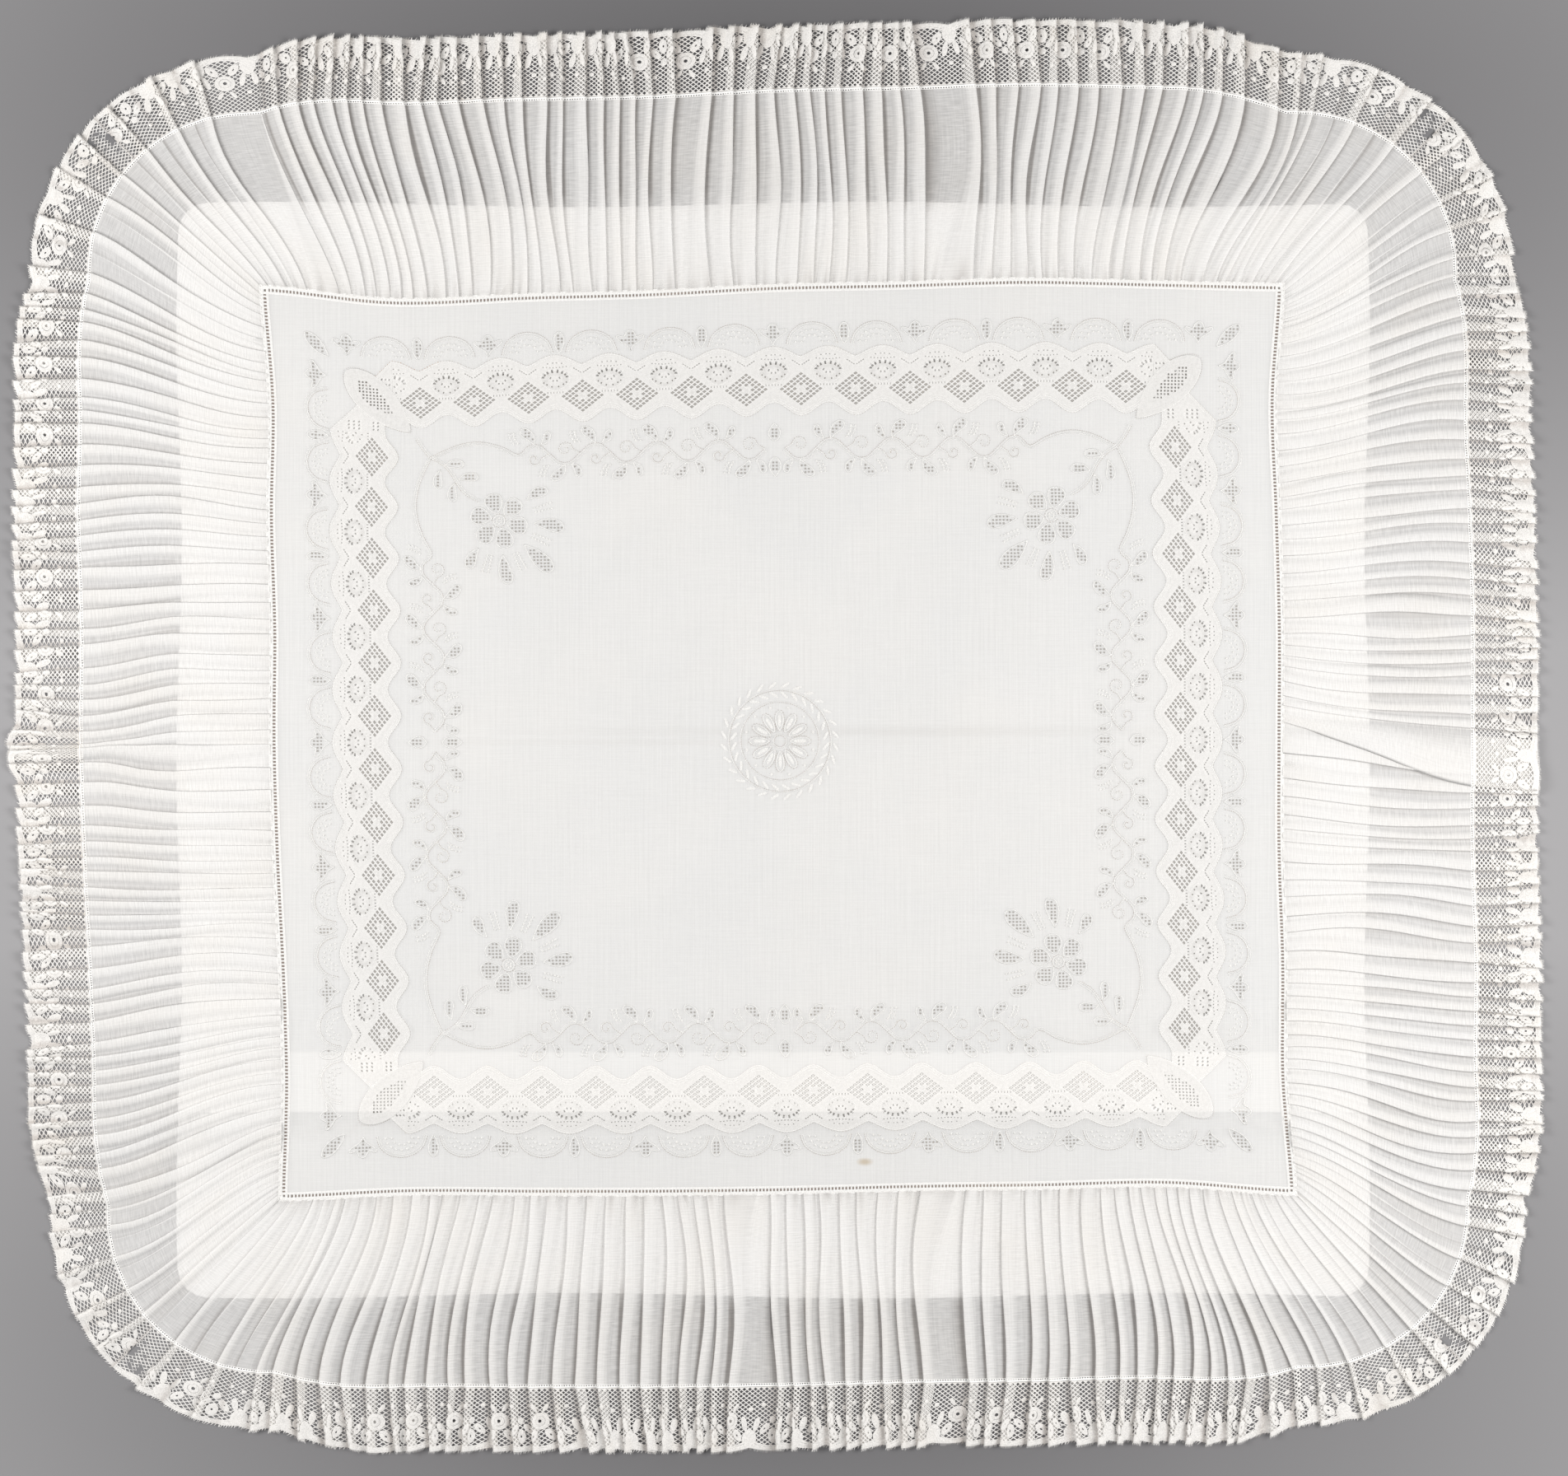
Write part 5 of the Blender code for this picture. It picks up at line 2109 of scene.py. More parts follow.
@dataclass(frozen=True)
class Vine:
    """A wavy double stem along half a side, with a leaf, a curl and dots at each of its bends."""

    plan: Plan
    side: Side
    waves: int
    end: float
    depth: float = 52.5
    sway: float = 3.4
    start: float = 3.2
    bow: float = 5.0
    wave_steps: int = 6
    curl_radius: float = 2.5
    curl_steps: int = 11

    def at(self, along: float, off: float) -> Point:
        """Point at a length along the vine and a distance off it, towards the panel's middle."""
        return quarter_point(self.plan, self.side, along, self.depth + off)

    def work(self, white: Needlework) -> None:
        """Work the stem up to the corner's knot, and all that grows from it."""
        length = (self.end - self.start) / self.waves
        steps = self.wave_steps * self.waves
        stem = [
            self.at(self.start + length * step / self.wave_steps,
                    self.sway * math.sin(2.0 * math.pi * step / self.wave_steps))
            for step in range(steps)
        ]
        knot = self.plan.sizes[self.side].half - self.depth
        for step in range(self.wave_steps + 1):
            share = step / self.wave_steps
            stem.append(self.at(self.end + share * (knot - self.end), -self.bow * math.sin(math.pi * share)))
        white.add_stem(Stem(tuple(stem), True))
        for bend in range(2 * self.waves):
            way = 1.0 if bend % 2 == 0 else -1.0
            self.work_bend(white, self.start + length * (0.5 * bend + 0.25), way, 0.25 * length)

    def work_bend(self, white: Needlework, along: float, way: float, quarter: float) -> None:
        """Work two leaves on a bend's outside, and a curl and dots in its hollow.

        Args:
            white: The whitework.
            along: Place of the bend.
            way: 1 where it bends towards the panel's middle, otherwise -1.
            quarter: A quarter of the wave's length.
        """
        top = self.sway * way
        leaf = (self.at(along, top), self.at(along + 1.4, top + 2.9 * way), self.at(along + 4.4, top + 5.2 * way))
        white.add_lobe(Lobe(leaf, 3.1, 1.0, 0.5))
        bud = (self.at(along - 2.2, top), self.at(along - 4.0, top + 1.7 * way), self.at(along - 4.6, top + 4.4 * way))
        white.add_lobe(Lobe(bud, 2.2, 1.0, 0.6))
        hollow = top - 5.0 * way
        curl = [self.at(along - quarter, 0.0)]
        for step in range(self.curl_steps):
            angle = 0.72 * step
            radius = self.curl_radius * (1.0 - step / (self.curl_steps + 2.0))
            curl.append(self.at(along - radius * math.cos(angle), hollow - way * radius * math.sin(angle)))
        white.add_stem(Stem(tuple(curl)))
        for gap, count in ((1.7, 5), (3.1, 4)):
            row = (self.at(along + 3.4 + gap, top + 0.2 * way), self.at(along + 4.8 + gap, top + 2.4 * way),
                   self.at(along + 5.2 + gap, top + 4.6 * way))
            white.add_beads(Beads(row, count))


@dataclass(frozen=True)
class Spray:
    """The corner's bloom on a short stem, with leaves and dots that spread to the middle."""

    plan: Plan
    knot_depth: float
    stem: float = 22.4
    petals: int = 6
    petal_width: float = 5.6
    inner: float = 2.6
    outer: float = 9.4
    fan: tuple[tuple[float, float, float], ...] = ((-82.0, 7.6, 3.4), (-40.0, 9.8, 4.2), (0.0, 12.4, 5.0),
                                                   (40.0, 9.8, 4.2), (82.0, 7.6, 3.4))
    pair_places: tuple[float, ...] = (0.22, 0.52)

    def work(self, white: Needlework) -> None:
        """Work the stem, the bloom and its fan of leaves (turn in degrees, length and width each)."""
        knot = (self.plan.half_w - self.knot_depth, self.plan.half_h - self.knot_depth)
        middle = (knot[0] - self.stem, knot[1] - self.stem)
        inward = math.radians(225.0)
        self.work_stem(white, knot, middle)
        for petal in range(self.petals):
            turn = inward + math.radians(360.0 * (petal + 0.5) / self.petals)
            spine = (self.away(middle, turn, self.inner), self.away(middle, turn, self.outer))
            white.add_lobe(Lobe(spine, self.petal_width, 0.8, 0.45))
        eye = [self.away(middle, math.radians(30.0 * step), 1.9) for step in range(12)]
        white.add_shape(eye, Copies.FOUR, False, False)
        white.add_beads(Beads((*(self.away(middle, math.radians(60.0 * step), 0.9) for step in range(7)),), 6))
        for degrees, length, width in self.fan:
            turn = inward + math.radians(degrees)
            root = self.away(middle, turn, self.outer + 2.2)
            bend = turn - math.radians(0.3 * degrees)
            half = self.away(root, turn, 0.5 * length)
            white.add_lobe(Lobe((root, half, self.away(half, bend, 0.5 * length)), width, 1.0, 0.5))
        for degrees in (-61.0, -20.0, 20.0, 61.0):
            turn = inward + math.radians(degrees)
            for offset, count in ((-0.055, 6), (0.055, 6)):
                row = tuple(self.away(middle, turn + offset, self.outer + reach) for reach in (2.4, 6.0, 9.0))
                white.add_beads(Beads(row, count))

    def work_stem(self, white: Needlework, knot: Point, middle: Point) -> None:
        """Work the double stem from the corner leaf through the knot to the bloom, with paired leaves."""
        across = math.radians(135.0)
        run = math.dist(knot, middle) - self.outer
        path = [self.away(knot, math.radians(55.0), 8.6), self.away(knot, math.radians(50.0), 4.0)]
        for step in range(9):
            share = step / 8.0
            point = self.away(knot, math.radians(225.0), share * run)
            path.append(self.away(point, across, 1.1 * math.sin(2.0 * math.pi * share)))
        white.add_stem(Stem(tuple(path), True))
        for share in self.pair_places:
            root = self.away(knot, math.radians(225.0), share * run)
            for lean in (-1.0, 1.0):
                turn = math.radians(225.0 + 62.0 * lean)
                start, half = self.away(root, turn, 1.0), self.away(root, turn, 4.0)
                tip = self.away(half, turn - math.radians(22.0 * lean), 3.6)
                white.add_lobe(Lobe((start, half, tip), 2.9, 1.0, 0.5))

    @staticmethod
    def away(point: Point, turn: float, length: float) -> Point:
        """Point at a distance and a direction from another."""
        return point[0] + length * math.cos(turn), point[1] + length * math.sin(turn)


@dataclass
class Insertion:
    """The waved lace insertion: one repeat drawn flat, repeated and mitred on each side."""

    needlework: Needlework
    waves: WavedLace
    leaf_cut: Outline
    overlap: float = 0.3
    lift: float = 0.1
    diamond: Point = (7.3, 5.7)
    diamond_depth: float = 32.96
    rows: int = 7
    medallion: Point = (4.9, 3.7)
    medallion_depth: float = 27.2

    def holes(self, pitch: float) -> list[Outline]:
        """The holes of one repeat, from medallion middle to medallion middle.

        Args:
            pitch: Length of the repeat.

        Returns:
            The holes, as closed outlines of flat place and depth.
        """
        holes = []
        half_s, half_t = self.diamond[0] / self.rows, self.diamond[1] / self.rows
        for i in range(self.rows):
            for j in range(self.rows):
                a, b = i - 0.5 * (self.rows - 1), j - 0.5 * (self.rows - 1)
                if abs(a) + abs(b) < 1.5:
                    continue
                s = 0.5 * pitch + (a + b) * half_s
                t = self.diamond_depth + (a - b) * half_t
                thin, thick = 0.60, 0.72
                holes.append([
                    (s + 0.5 * (u * thin + v * thick) * half_s, t + 0.5 * (u * thin - v * thick) * half_t)
                    for u, v in ((-1, -1), (1, -1), (1, 1), (-1, 1))
                ])
        for end in (0.0, pitch):
            way = 1.0 if end == 0.0 else -1.0
            for turn, size in ((13.0, 1.1), (38.0, 1.15), (62.0, 1.15), (86.0, 1.0)):
                angle = math.radians(turn)
                s = end + way * 4.0 * math.sin(angle)
                depth = 26.5 - 2.1 * math.cos(angle)
                holes.append(self.slit(s, depth, way * math.sin(angle), -1.3 * math.cos(angle), size, 0.62))
            for s, t, size in (
                (0.62, 27.6, 0.6), (1.5, 26.7, 0.7), (1.1, 29.6, 0.5), (2.7, 28.9, 0.5), (3.7, 28.2, 0.45)
            ):
                holes.append(self.slit(end + way * s, t, way * 0.6, 1.0, size, 0.45))
            for s, t in ((0.6, 21.7), (2.3, 21.9), (0.55, 23.25), (1.6, 23.2), (2.7, 23.1), (3.8, 23.0)):
                holes.append(self.slit(end + way * s, t, 1.0, 0.0, 0.42, 0.36))
            for s, t in ((2.6, 23.7), (1.9, 24.1), (1.2, 24.6), (0.5, 25.0)):
                holes.append(self.slit(0.5 * pitch - way * s, t, way, 0.75, 0.55, 0.36))
            for s in (0.5, 1.5, 2.5):
                holes.append(self.slit(end + way * s, 31.6, 0.0, 1.0, 0.6, 0.3))
        return holes

    def slit(self, s: float, t: float, way_s: float, way_t: float, long: float, wide: float) -> Outline:
        """A small four-cornered hole turned to a direction."""
        size = math.hypot(way_s, way_t)
        us, ut = 0.5 * long * way_s / size, 0.5 * long * way_t / size
        vs, vt = -0.5 * wide * way_t / size, 0.5 * wide * way_s / size
        return [
            (s - us - vs, t - ut - vt), (s + us - vs, t + ut - vt),
            (s + us + vs, t + ut + vt), (s - us + vs, t - ut + vt),
        ]

    def build_repeat(self, side: Side) -> bpy.types.Object:
        """Draw one repeat of the cloth, with its holes, flat."""
        pitch = self.needlework.plan.sizes[side].pitch
        steps = 12
        places = [pitch * step / steps for step in range(steps + 1)]
        outer = [(s, self.waves.outer_edge(side, s) - self.overlap) for s in places]
        inner = [(s, self.waves.inner_edge(side, s) + self.overlap) for s in places[::-1]]
        return cut_cloth("repeat", [outer + inner, *self.holes(pitch)])

    def build_end(self, side: Side, worked: float) -> bpy.types.Object:
        """Draw the plain stretch from the last repeat to the mitre, flat."""
        half = self.needlework.plan.sizes[side].half
        mitre = 0.5 * (half + worked - self.waves.near)
        outline = [
            (worked, self.waves.near - self.overlap),
            (mitre, half - mitre - self.overlap),
            (half - self.waves.inner_near - self.overlap, self.waves.inner_near + self.overlap),
            (worked, self.waves.inner_near + self.overlap),
        ]
        holes = []
        for s in (1.0, 2.2, 3.4):
            for t in (25.3, 27.0, 28.7, 33.5, 35.0):
                holes.append(self.slit(worked + s, t, 0.7, 0.7, 0.7, 0.5))
        sizes = self.needlework.plan.sizes[side]
        if side in (Side.TOP, Side.BOTTOM):
            leaf = [(x, sizes.reach - y) for x, y in self.leaf_cut]
        else:
            leaf = [(y, sizes.reach - x) for x, y in self.leaf_cut]
        return cut_cloth("end", [outline, *holes, leaf])

    def build_side(self, side: Side) -> bpy.types.Object:
        """Model one side's insertion and lay it in place."""
        sizes = self.needlework.plan.sizes[side]
        worked = 0.5 * sizes.diamonds * sizes.pitch
        band = self.build_repeat(side)
        repeat_along(band, sizes.diamonds, sizes.pitch)
        for vert in band.data.vertices:
            vert.co.x -= worked
        right = self.build_end(side, worked)
        left = self.build_end(side, worked)
        for vert in left.data.vertices:
            vert.co.x = -vert.co.x
        select_only(left)
        bpy.ops.object.mode_set(mode="EDIT")
        bpy.ops.mesh.select_all(action="SELECT")
        bpy.ops.mesh.flip_normals()
        bpy.ops.object.mode_set(mode="OBJECT")
        band = join_pieces("lace_insertion_" + side.value, [band, right, left])
        self.merge(band)
        self.place(band, side, self.lift)
        lay_on_panel(band, self.needlework.plan, self.needlework.level)
        return band

    def merge(self, piece: bpy.types.Object) -> None:
        """Weld the repeats' shared edges."""
        select_only(piece)
        bpy.ops.object.mode_set(mode="EDIT")
        bpy.ops.mesh.select_all(action="SELECT")
        bpy.ops.mesh.remove_doubles(threshold=0.01)
        bpy.ops.object.mode_set(mode="OBJECT")

    def place(self, piece: bpy.types.Object, side: Side, lift: float) -> None:
        """Turn a flat piece to its side of the true rectangle."""
        reach = self.needlework.plan.sizes[side].reach
        for vert in piece.data.vertices:
            x, y = side.plan_point(vert.co.x, reach - vert.co.y)
            vert.co = (x, y, lift)

    def work_cords(self, side: Side) -> None:
        """Lay the raised threads of one side: eyes, medallions and the two edges, and put painted shade under the holes
        of its diamonds and medallions.
        """
        sizes = self.needlework.plan.sizes[side]
        worked = 0.5 * sizes.diamonds * sizes.pitch
        reach, work = sizes.reach, self.needlework
        for index in range(sizes.diamonds):
            self.ring(side, (index + 0.5) * sizes.pitch - worked, self.diamond_depth, (1.25, 1.0), 10, 0.42)
            middle = (index + 0.5) * sizes.pitch - worked
            # Painted shade under the diamond's holes.
            for row in range(self.rows):
                for column in range(self.rows):
                    a, b = row - 0.5 * (self.rows - 1), column - 0.5 * (self.rows - 1)
                    along = middle + (a + b) * self.diamond[0] / self.rows
                    depth = self.diamond_depth + (a - b) * self.diamond[1] / self.rows
                    work.shades.append((*side.plan_point(along, reach - depth), 0.0, 2.9, 2.9))
        for index in range(1, sizes.diamonds):
            middle = index * sizes.pitch - worked
            self.ring(side, middle, self.medallion_depth, self.medallion, 22, 0.3)
            # Painted shade under the medallion's ring of holes.
            for spoke in range(14):
                angle = 2.0 * math.pi * spoke / 14.0
                along, depth = middle + 3.4 * math.sin(angle), 27.6 - 2.6 * math.cos(angle)
                work.shades.append((*side.plan_point(along, reach - depth), 0.0, 5.4, 5.4))
        for edge, offset, width in (
            (self.waves.outer_edge, 0.0, 0.42),
            (self.waves.outer_edge, 0.75, 0.24),
            (self.waves.inner_edge, 0.0, 0.42),
            (self.waves.inner_edge, -0.75, 0.3),
            (self.waves.inner_edge, -1.5, 0.24),
        ):
            self.needlework.cords.append((self.waves.edge_line(side, edge, offset), width))

    def ring(self, side: Side, along: float, depth: float, radii: Point, points: int, width: float) -> None:
        """Lay a raised ring round a place of the insertion."""
        reach = self.needlework.plan.sizes[side].reach
        path = []
        for step in range(points + 1):
            angle = 2.0 * math.pi * step / points
            s = math.copysign(abs(math.sin(angle)) ** 1.25, math.sin(angle))
            t = math.copysign(abs(math.cos(angle)) ** 1.25, math.cos(angle))
            path.append(side.plan_point(along + radii[0] * s, reach - depth - radii[1] * t))
        self.needlework.cords.append((path, width))

    def work_edges(self, rust: Needlework) -> None:
        """Pierce the needle holes along both edges, some of them rust-stained.

        Args:
            rust: Takes the stained ones.
        """
        for side in Side:
            for edge, offset, grow in ((self.waves.outer_edge, -0.28, 1.3), (self.waves.inner_edge, 0.28, 1.25)):
                line = self.waves.edge_line(side, edge, offset)
                lengths = path_lengths(line)
                step = self.needlework.pin_step * grow
                for index in range(int(lengths[-1] / step)):
                    (x, y), (dx, dy) = along_path(line, lengths, (index + 0.5) * step)
                    size = grow * self.needlework.rng.uniform(0.8, 1.25)
                    stained = side is Side.TOP and grow == 1.3 and -134.0 < x < -109.0
                    work = rust if stained else self.needlework
                    work.pins.append((x, y, math.atan2(dy, dx), size, size))


def lay_on_panel(piece: bpy.types.Object, plan: Plan, level: float) -> None:
    """Settle a flat piece of the true rectangle over the backing and its lap.

    Args:
        piece: The piece, in true-rectangle millimetres.
        plan: The plan.
        level: Height over the panel's underside.
    """
    for vert in piece.data.vertices:
        vert.co.x, vert.co.y = plan.settle(vert.co.x, vert.co.y)
    lowest = min(vert.co.y for vert in piece.data.vertices)
    highest = max(vert.co.y for vert in piece.data.vertices)
    select_only(piece)
    bpy.ops.object.mode_set(mode="EDIT")
    for crease in plan.panel_creases():
        if lowest < crease < highest:
            bpy.ops.mesh.select_all(action="SELECT")
            bpy.ops.mesh.bisect(plane_co=(0.0, crease, 0.0), plane_no=(0.0, 1.0, 0.0), threshold=1e-4)
    bpy.ops.object.mode_set(mode="OBJECT")
    for vert in piece.data.vertices:
        x, y, z = vert.co
        vert.co = plan.to_frame(x, y, plan.panel_base(y) + level + z)
    piece.data.update()


def outline_area(outline: Sequence[Point]) -> float:
    """Area of a closed outline."""
    twice = sum(x0 * y1 - x1 * y0 for (x0, y0), (x1, y1) in zip(outline, [*outline[1:], outline[0]]))
    return 0.5 * abs(twice)


def quarter_line(ring: Outline, signs: tuple[int, int]) -> Outline:
    """The stretch of a closed line in one quarter, from axis to axis."""
    part = clip_side(clip_side(ring, 0, signs[0]), 1, signs[1])
    middle = min(range(len(part)), key=lambda index: math.hypot(*part[index]))
    return part[middle + 1 :] + part[:middle]


@dataclass
class CornerLeaf:
    """The almond that covers each mitre: a corded patch with a lens of open weave."""

    needlework: Needlework
    spine: tuple[Point, ...] = ((140.4, 124.6), (130.0, 115.0), (120.1, 105.3))
    width: float = 12.15
    lens: tuple[Point, ...] = ((137.6, 122.2), (125.0, 110.2))
    lens_width: float = 6.75
    lift: float = 0.3

    def under_cut(self) -> Outline:
        """The outline that is cut from the cloths under the leaf, in the first quarter."""
        work = self.needlework
        edge = work.lobe_outline(self.spine, self.width, 0.6, 0.85)
        middle_x = sum(x for x, _ in edge) / len(edge)
        middle_y = sum(y for _, y in edge) / len(edge)
        return [(middle_x + 0.93 * (x - middle_x), middle_y + 0.93 * (y - middle_y)) for x, y in edge]

    def build(self, signs: tuple[int, int], name: str) -> bpy.types.Object:
        """Model one corner's leaf.

        Args:
            signs: Signs of x and y of its corner.
            name: The corner's name.

        Returns:
            The leaf.
        """
        work = self.needlework
        edge = work.lobe_outline(self.spine, self.width, 0.6, 0.85)
        lens = work.lobe_outline(self.lens, self.lens_width, 0.65, 0.9)
        edge, lens = work.mirrored(edge, signs), work.mirrored(lens, signs)
        holes = work.open_weave(lens, 0.04)
        for hole in holes:
            work.shades.append((0.5 * (hole[0][0] + hole[2][0]), 0.5 * (hole[0][1] + hole[2][1]), 0.0, 2.6, 2.6))
        leaf = cut_cloth("corner_leaf_piece_" + name, [edge, *holes])
        for vert in leaf.data.vertices:
            vert.co.z = self.lift
        lay_on_panel(leaf, work.plan, work.level)
        middle_x = sum(x for x, _ in edge) / len(edge)
        middle_y = sum(y for _, y in edge) / len(edge)
        turning = -1.0 if signs[0] * signs[1] > 0 else 1.0
        work.stitch(edge, 0.5, 0.0, closed=True)
        for share, width in ((0.90, 0.3), (0.80, 0.3)):
            inner = [(middle_x + share * (x - middle_x), middle_y + share * (y - middle_y)) for x, y in edge]
            work.cords.append(([*inner, inner[0]], width))
        work.stitch(lens, 0.45, 0.0, closed=True)
        outer = [(middle_x + 1.05 * (x - middle_x), middle_y + 1.05 * (y - middle_y)) for x, y in edge]
        lengths = path_lengths(outer)
        for step in range(int(lengths[-1] / work.pin_step)):
            (x, y), (dx, dy) = along_path(outer, lengths, (step + 0.5) * work.pin_step)
            work.pins.append((x, y, turning * math.atan2(dy, dx), 1.0, 1.0))
        return leaf


@dataclass
class Beading:
    """The hemstitched seam of one side: a ladder of holes, a cord and a rolled strip."""

    plan: Plan
    side: Side
    pitch: float = 1.13
    inner: float = -1.25
    outer: float = 1.8
    ladder: float = 0.72
    rim: float = 0.23
    level: float = 0.16

    def build(self) -> bpy.types.Object:
        """Model the strip and lay it along its side.

        Returns:
            The strip.
        """
        half = self.plan.sizes[self.side].half
        count = round(2.0 * half / self.pitch)
        holes = flat_grid("ladder", count, 1, (-half, -self.ladder), (half, self.ladder))
        open_faces(holes, self.rim, lambda centre: True)
        cord = flat_grid("cord", count // 2, 3, (-half, self.inner), (half, -self.ladder))
        rolled = flat_grid("rolled", count, 7, (-half, self.ladder), (half, self.outer))
        strip = join_pieces("hemstitch_" + self.side.value, [cord, holes, rolled])
        reach = self.plan.sizes[self.side].reach
        for vert in strip.data.vertices:
            along, out = vert.co.x, vert.co.y
            lift = self.profile(along, out)
            mitre = smooth_step((abs(along) - half + 4.0) / 4.0)
            x, y = self.plan.laid(self.side, along + math.copysign(out * mitre, along), reach + out)
            vert.co = self.plan.to_frame(x, y, self.plan.panel_base(y) + self.level + lift)
        strip.data.update()
        return strip

    def shade_holes(self, work: Needlework) -> None:
        """Put the seam's shade under each hole of the ladder."""
        sizes = self.plan.sizes[self.side]
        count = round(2.0 * sizes.half / self.pitch)
        for index in range(count):
            along = sizes.half * (2.0 * (index + 0.5) / count - 1.0)
            x, y = self.side.plan_point(along, sizes.reach)
            level = self.side in (Side.TOP, Side.BOTTOM)
            long = work.rng.uniform(0.62, 0.78) / work.pin_size
            wide = work.rng.uniform(0.7, 0.9) * (1.0 if level else 1.45) / work.pin_size
            turn = 0.0 if level else 0.5 * math.pi
            work.pins.append((x, y, turn, long, wide))

    def profile(self, along: float, out: float) -> float:
        """Height of the strip at a distance out from the ladder's middle."""
        cord = 0.08 * math.exp(-(((out + 0.75) / 0.22) ** 2))
        roll = 0.2 * math.exp(-(((out - 0.9) / 0.34) ** 2))
        gather = 0.18 * smooth_step((out - 1.0) / 0.6) * (1.0 + math.sin(2.6 * along + math.sin(0.7 * along)))
        return cord + roll + gather


@dataclass
class Panel:
    """The panel: its ground in two cloths, the insertion between them, leaves and whitework."""

    plan: Plan
    edge: float = -0.9
    outline_step: float = 9.0

    def build(self) -> None:
        """Model and dress the whole panel."""
        waves = WavedLace(self.plan)
        white = Needlework(self.plan, "whitework")
        lace = Needlework(self.plan, "insertion")
        rust = Needlework(self.plan, "rust")
        self.work_motifs(white)
        self.work_middle(white)
        leaf = CornerLeaf(lace)
        insertion = Insertion(lace, waves, leaf.under_cut())
        insertion.work_edges(rust)
        dressing = self.build_stitches(white, rust)
        strips = []
        seam = Needlework(self.plan, "seam")
        for side in Side:
            beading = Beading(self.plan, side)
            beading.shade_holes(seam)
            strips.append(beading.build())
            finish_piece(strips[-1], MATERIALS["cotton_thread"], ["beading_" + side.value])
        finish_piece(seam.build_pins(), MATERIALS["ladder"])
        self.build_grounds(white, waves, leaf.under_cut(), {"panel_border": strips, "panel_field": dressing})
        for side in Side:
            insertion.work_cords(side)
            band = insertion.build_side(side)
            finish_piece(band, MATERIALS["insertion"], ["insertion_" + side.value])
        for name, signs in (
            ("top_left", (-1, 1)), ("top_right", (1, 1)), ("bottom_right", (1, -1)), ("bottom_left", (-1, -1))
        ):
            patch = leaf.build(signs, name)
            finish_piece(patch, MATERIALS["insertion"], ["corner_leaf_" + name])
        cords = lace.build_cords()
        finish_piece(cords, MATERIALS["whitework"])
        for holes, key in ((lace.build_pins(), "pin"), (lace.build_shades(), "shade")):
            finish_piece(holes, MATERIALS[key])

    def work_motifs(self, white: Needlework) -> None:
        """Work the border's festoons, the field's vines and sprays, and the leaves at mid-side."""
        Festoons(self.plan).work(white)
        vines = (Vine(self.plan, Side.TOP, 4, 84.0), Vine(self.plan, Side.RIGHT, 3, 62.0))
        for vine, copies in zip(vines, (Copies.TOP_AND_BOTTOM, Copies.BOTH_SIDES)):
            vine.work(white)
            for near, far in ((-2.6, -8.4), (2.6, 9.0)):
                white.add_lobe(Lobe((vine.at(0.0, near), vine.at(0.0, far)), 3.8, 0.8, 1.0, copies))
        Spray(self.plan, vines[0].depth).work(white)

    def work_middle(self, white: Needlework) -> None:
        """Work a plain rosette in a wreath at the panel's middle."""
        for petal in range(12):
            turn = math.radians(30.0 * petal)
            way = (math.cos(turn), math.sin(turn))
            spine = [(3.4 * way[0], 3.4 * way[1]), (9.9 * way[0], 9.9 * way[1])]
            white.add_shape(white.lobe_outline(spine, 2.5, 0.8, 0.5), Copies.ONE, False, False)
            white.pads.append((6.6 * way[0], 6.6 * way[1], turn, 4.2, 1.3))
            white.pads.append((11.3 * math.cos(turn + 0.26), 11.3 * math.sin(turn + 0.26), turn, 1.1, 1.1))
        for leaf in range(28):
            turn = math.radians(360.0 * (leaf + 0.5) / 28.0)
            for radius, lean in ((15.2, 0.62), (18.4, -0.62)):
                x, y = radius * math.cos(turn), radius * math.sin(turn)
                white.pads.append((x, y, turn + 0.5 * math.pi - lean, 3.3, 1.15))
        for radius, width in ((2.2, 0.4), (13.0, 0.3), (16.8, 0.34)):
            points = round(6.3 * radius)
            angles = [2.0 * math.pi * k / points for k in range(points)]
            ring = [(radius * math.cos(a), radius * math.sin(a)) for a in angles]
            white.stitch(ring, width, 0.35, closed=True)

    def build_stitches(self, white: Needlework, rust: Needlework) -> list[bpy.types.Object]:
        """Model and dress the cords, dots and needle holes of the whitework."""
        pieces = [white.build_cords(), white.build_pads(), white.build_pins(), rust.build_pins(), white.build_shades()]
        for piece, key in zip(pieces, ("whitework", "satin", "pin", "rust", "shade")):
            finish_piece(piece, MATERIALS[key])
        return pieces

    def build_grounds(
        self, white: Needlework, waves: WavedLace, leaf_cut: Outline, dressing: dict[str, list[bpy.types.Object]]
    ) -> None:
        """Cut both grounds quarter by quarter, join, settle and dress them."""
        outer = self.edge_ring()
        outer_wave = waves.ring(waves.outer_edge, 0.0)
        inner_wave = waves.ring(waves.inner_edge, 0.0)
        border, centre = [], []
        for signs in Copies.FOUR.value:
            edge = quarter_line(outer, signs)
            leaf = white.mirrored(leaf_cut, signs)
            border_edge = edge + quarter_line(outer_wave, signs)[::-1]
            border.append(cut_cloth("border", [border_edge, *white.openings.get((*signs, True), ()), leaf]))
            centre_edge = [*quarter_line(inner_wave, signs), (0.0, 0.0)]
            centre.append(cut_cloth("centre", [centre_edge, *white.openings.get((*signs, False), ()), leaf]))
        girth = 4.0 * (self.plan.half_w + self.plan.half_h - waves.near)
        for name, node, pieces, size, area in (
            ("lawn_border", "panel_border", border, (girth, waves.far),
             outline_area(outer) - outline_area(outer_wave)),
            ("lawn_centre", "panel_field", centre, (2.0 * (self.plan.half_w - 37.0), 2.0 * (self.plan.half_h - 37.0)),
             outline_area(inner_wave)),
        ):
            ground = join_pieces(name, pieces)
            select_only(ground)
            bpy.ops.object.mode_set(mode="EDIT")
            bpy.ops.mesh.select_all(action="SELECT")
            bpy.ops.mesh.remove_doubles(threshold=0.001)
            bpy.ops.mesh.normals_make_consistent(inside=False)
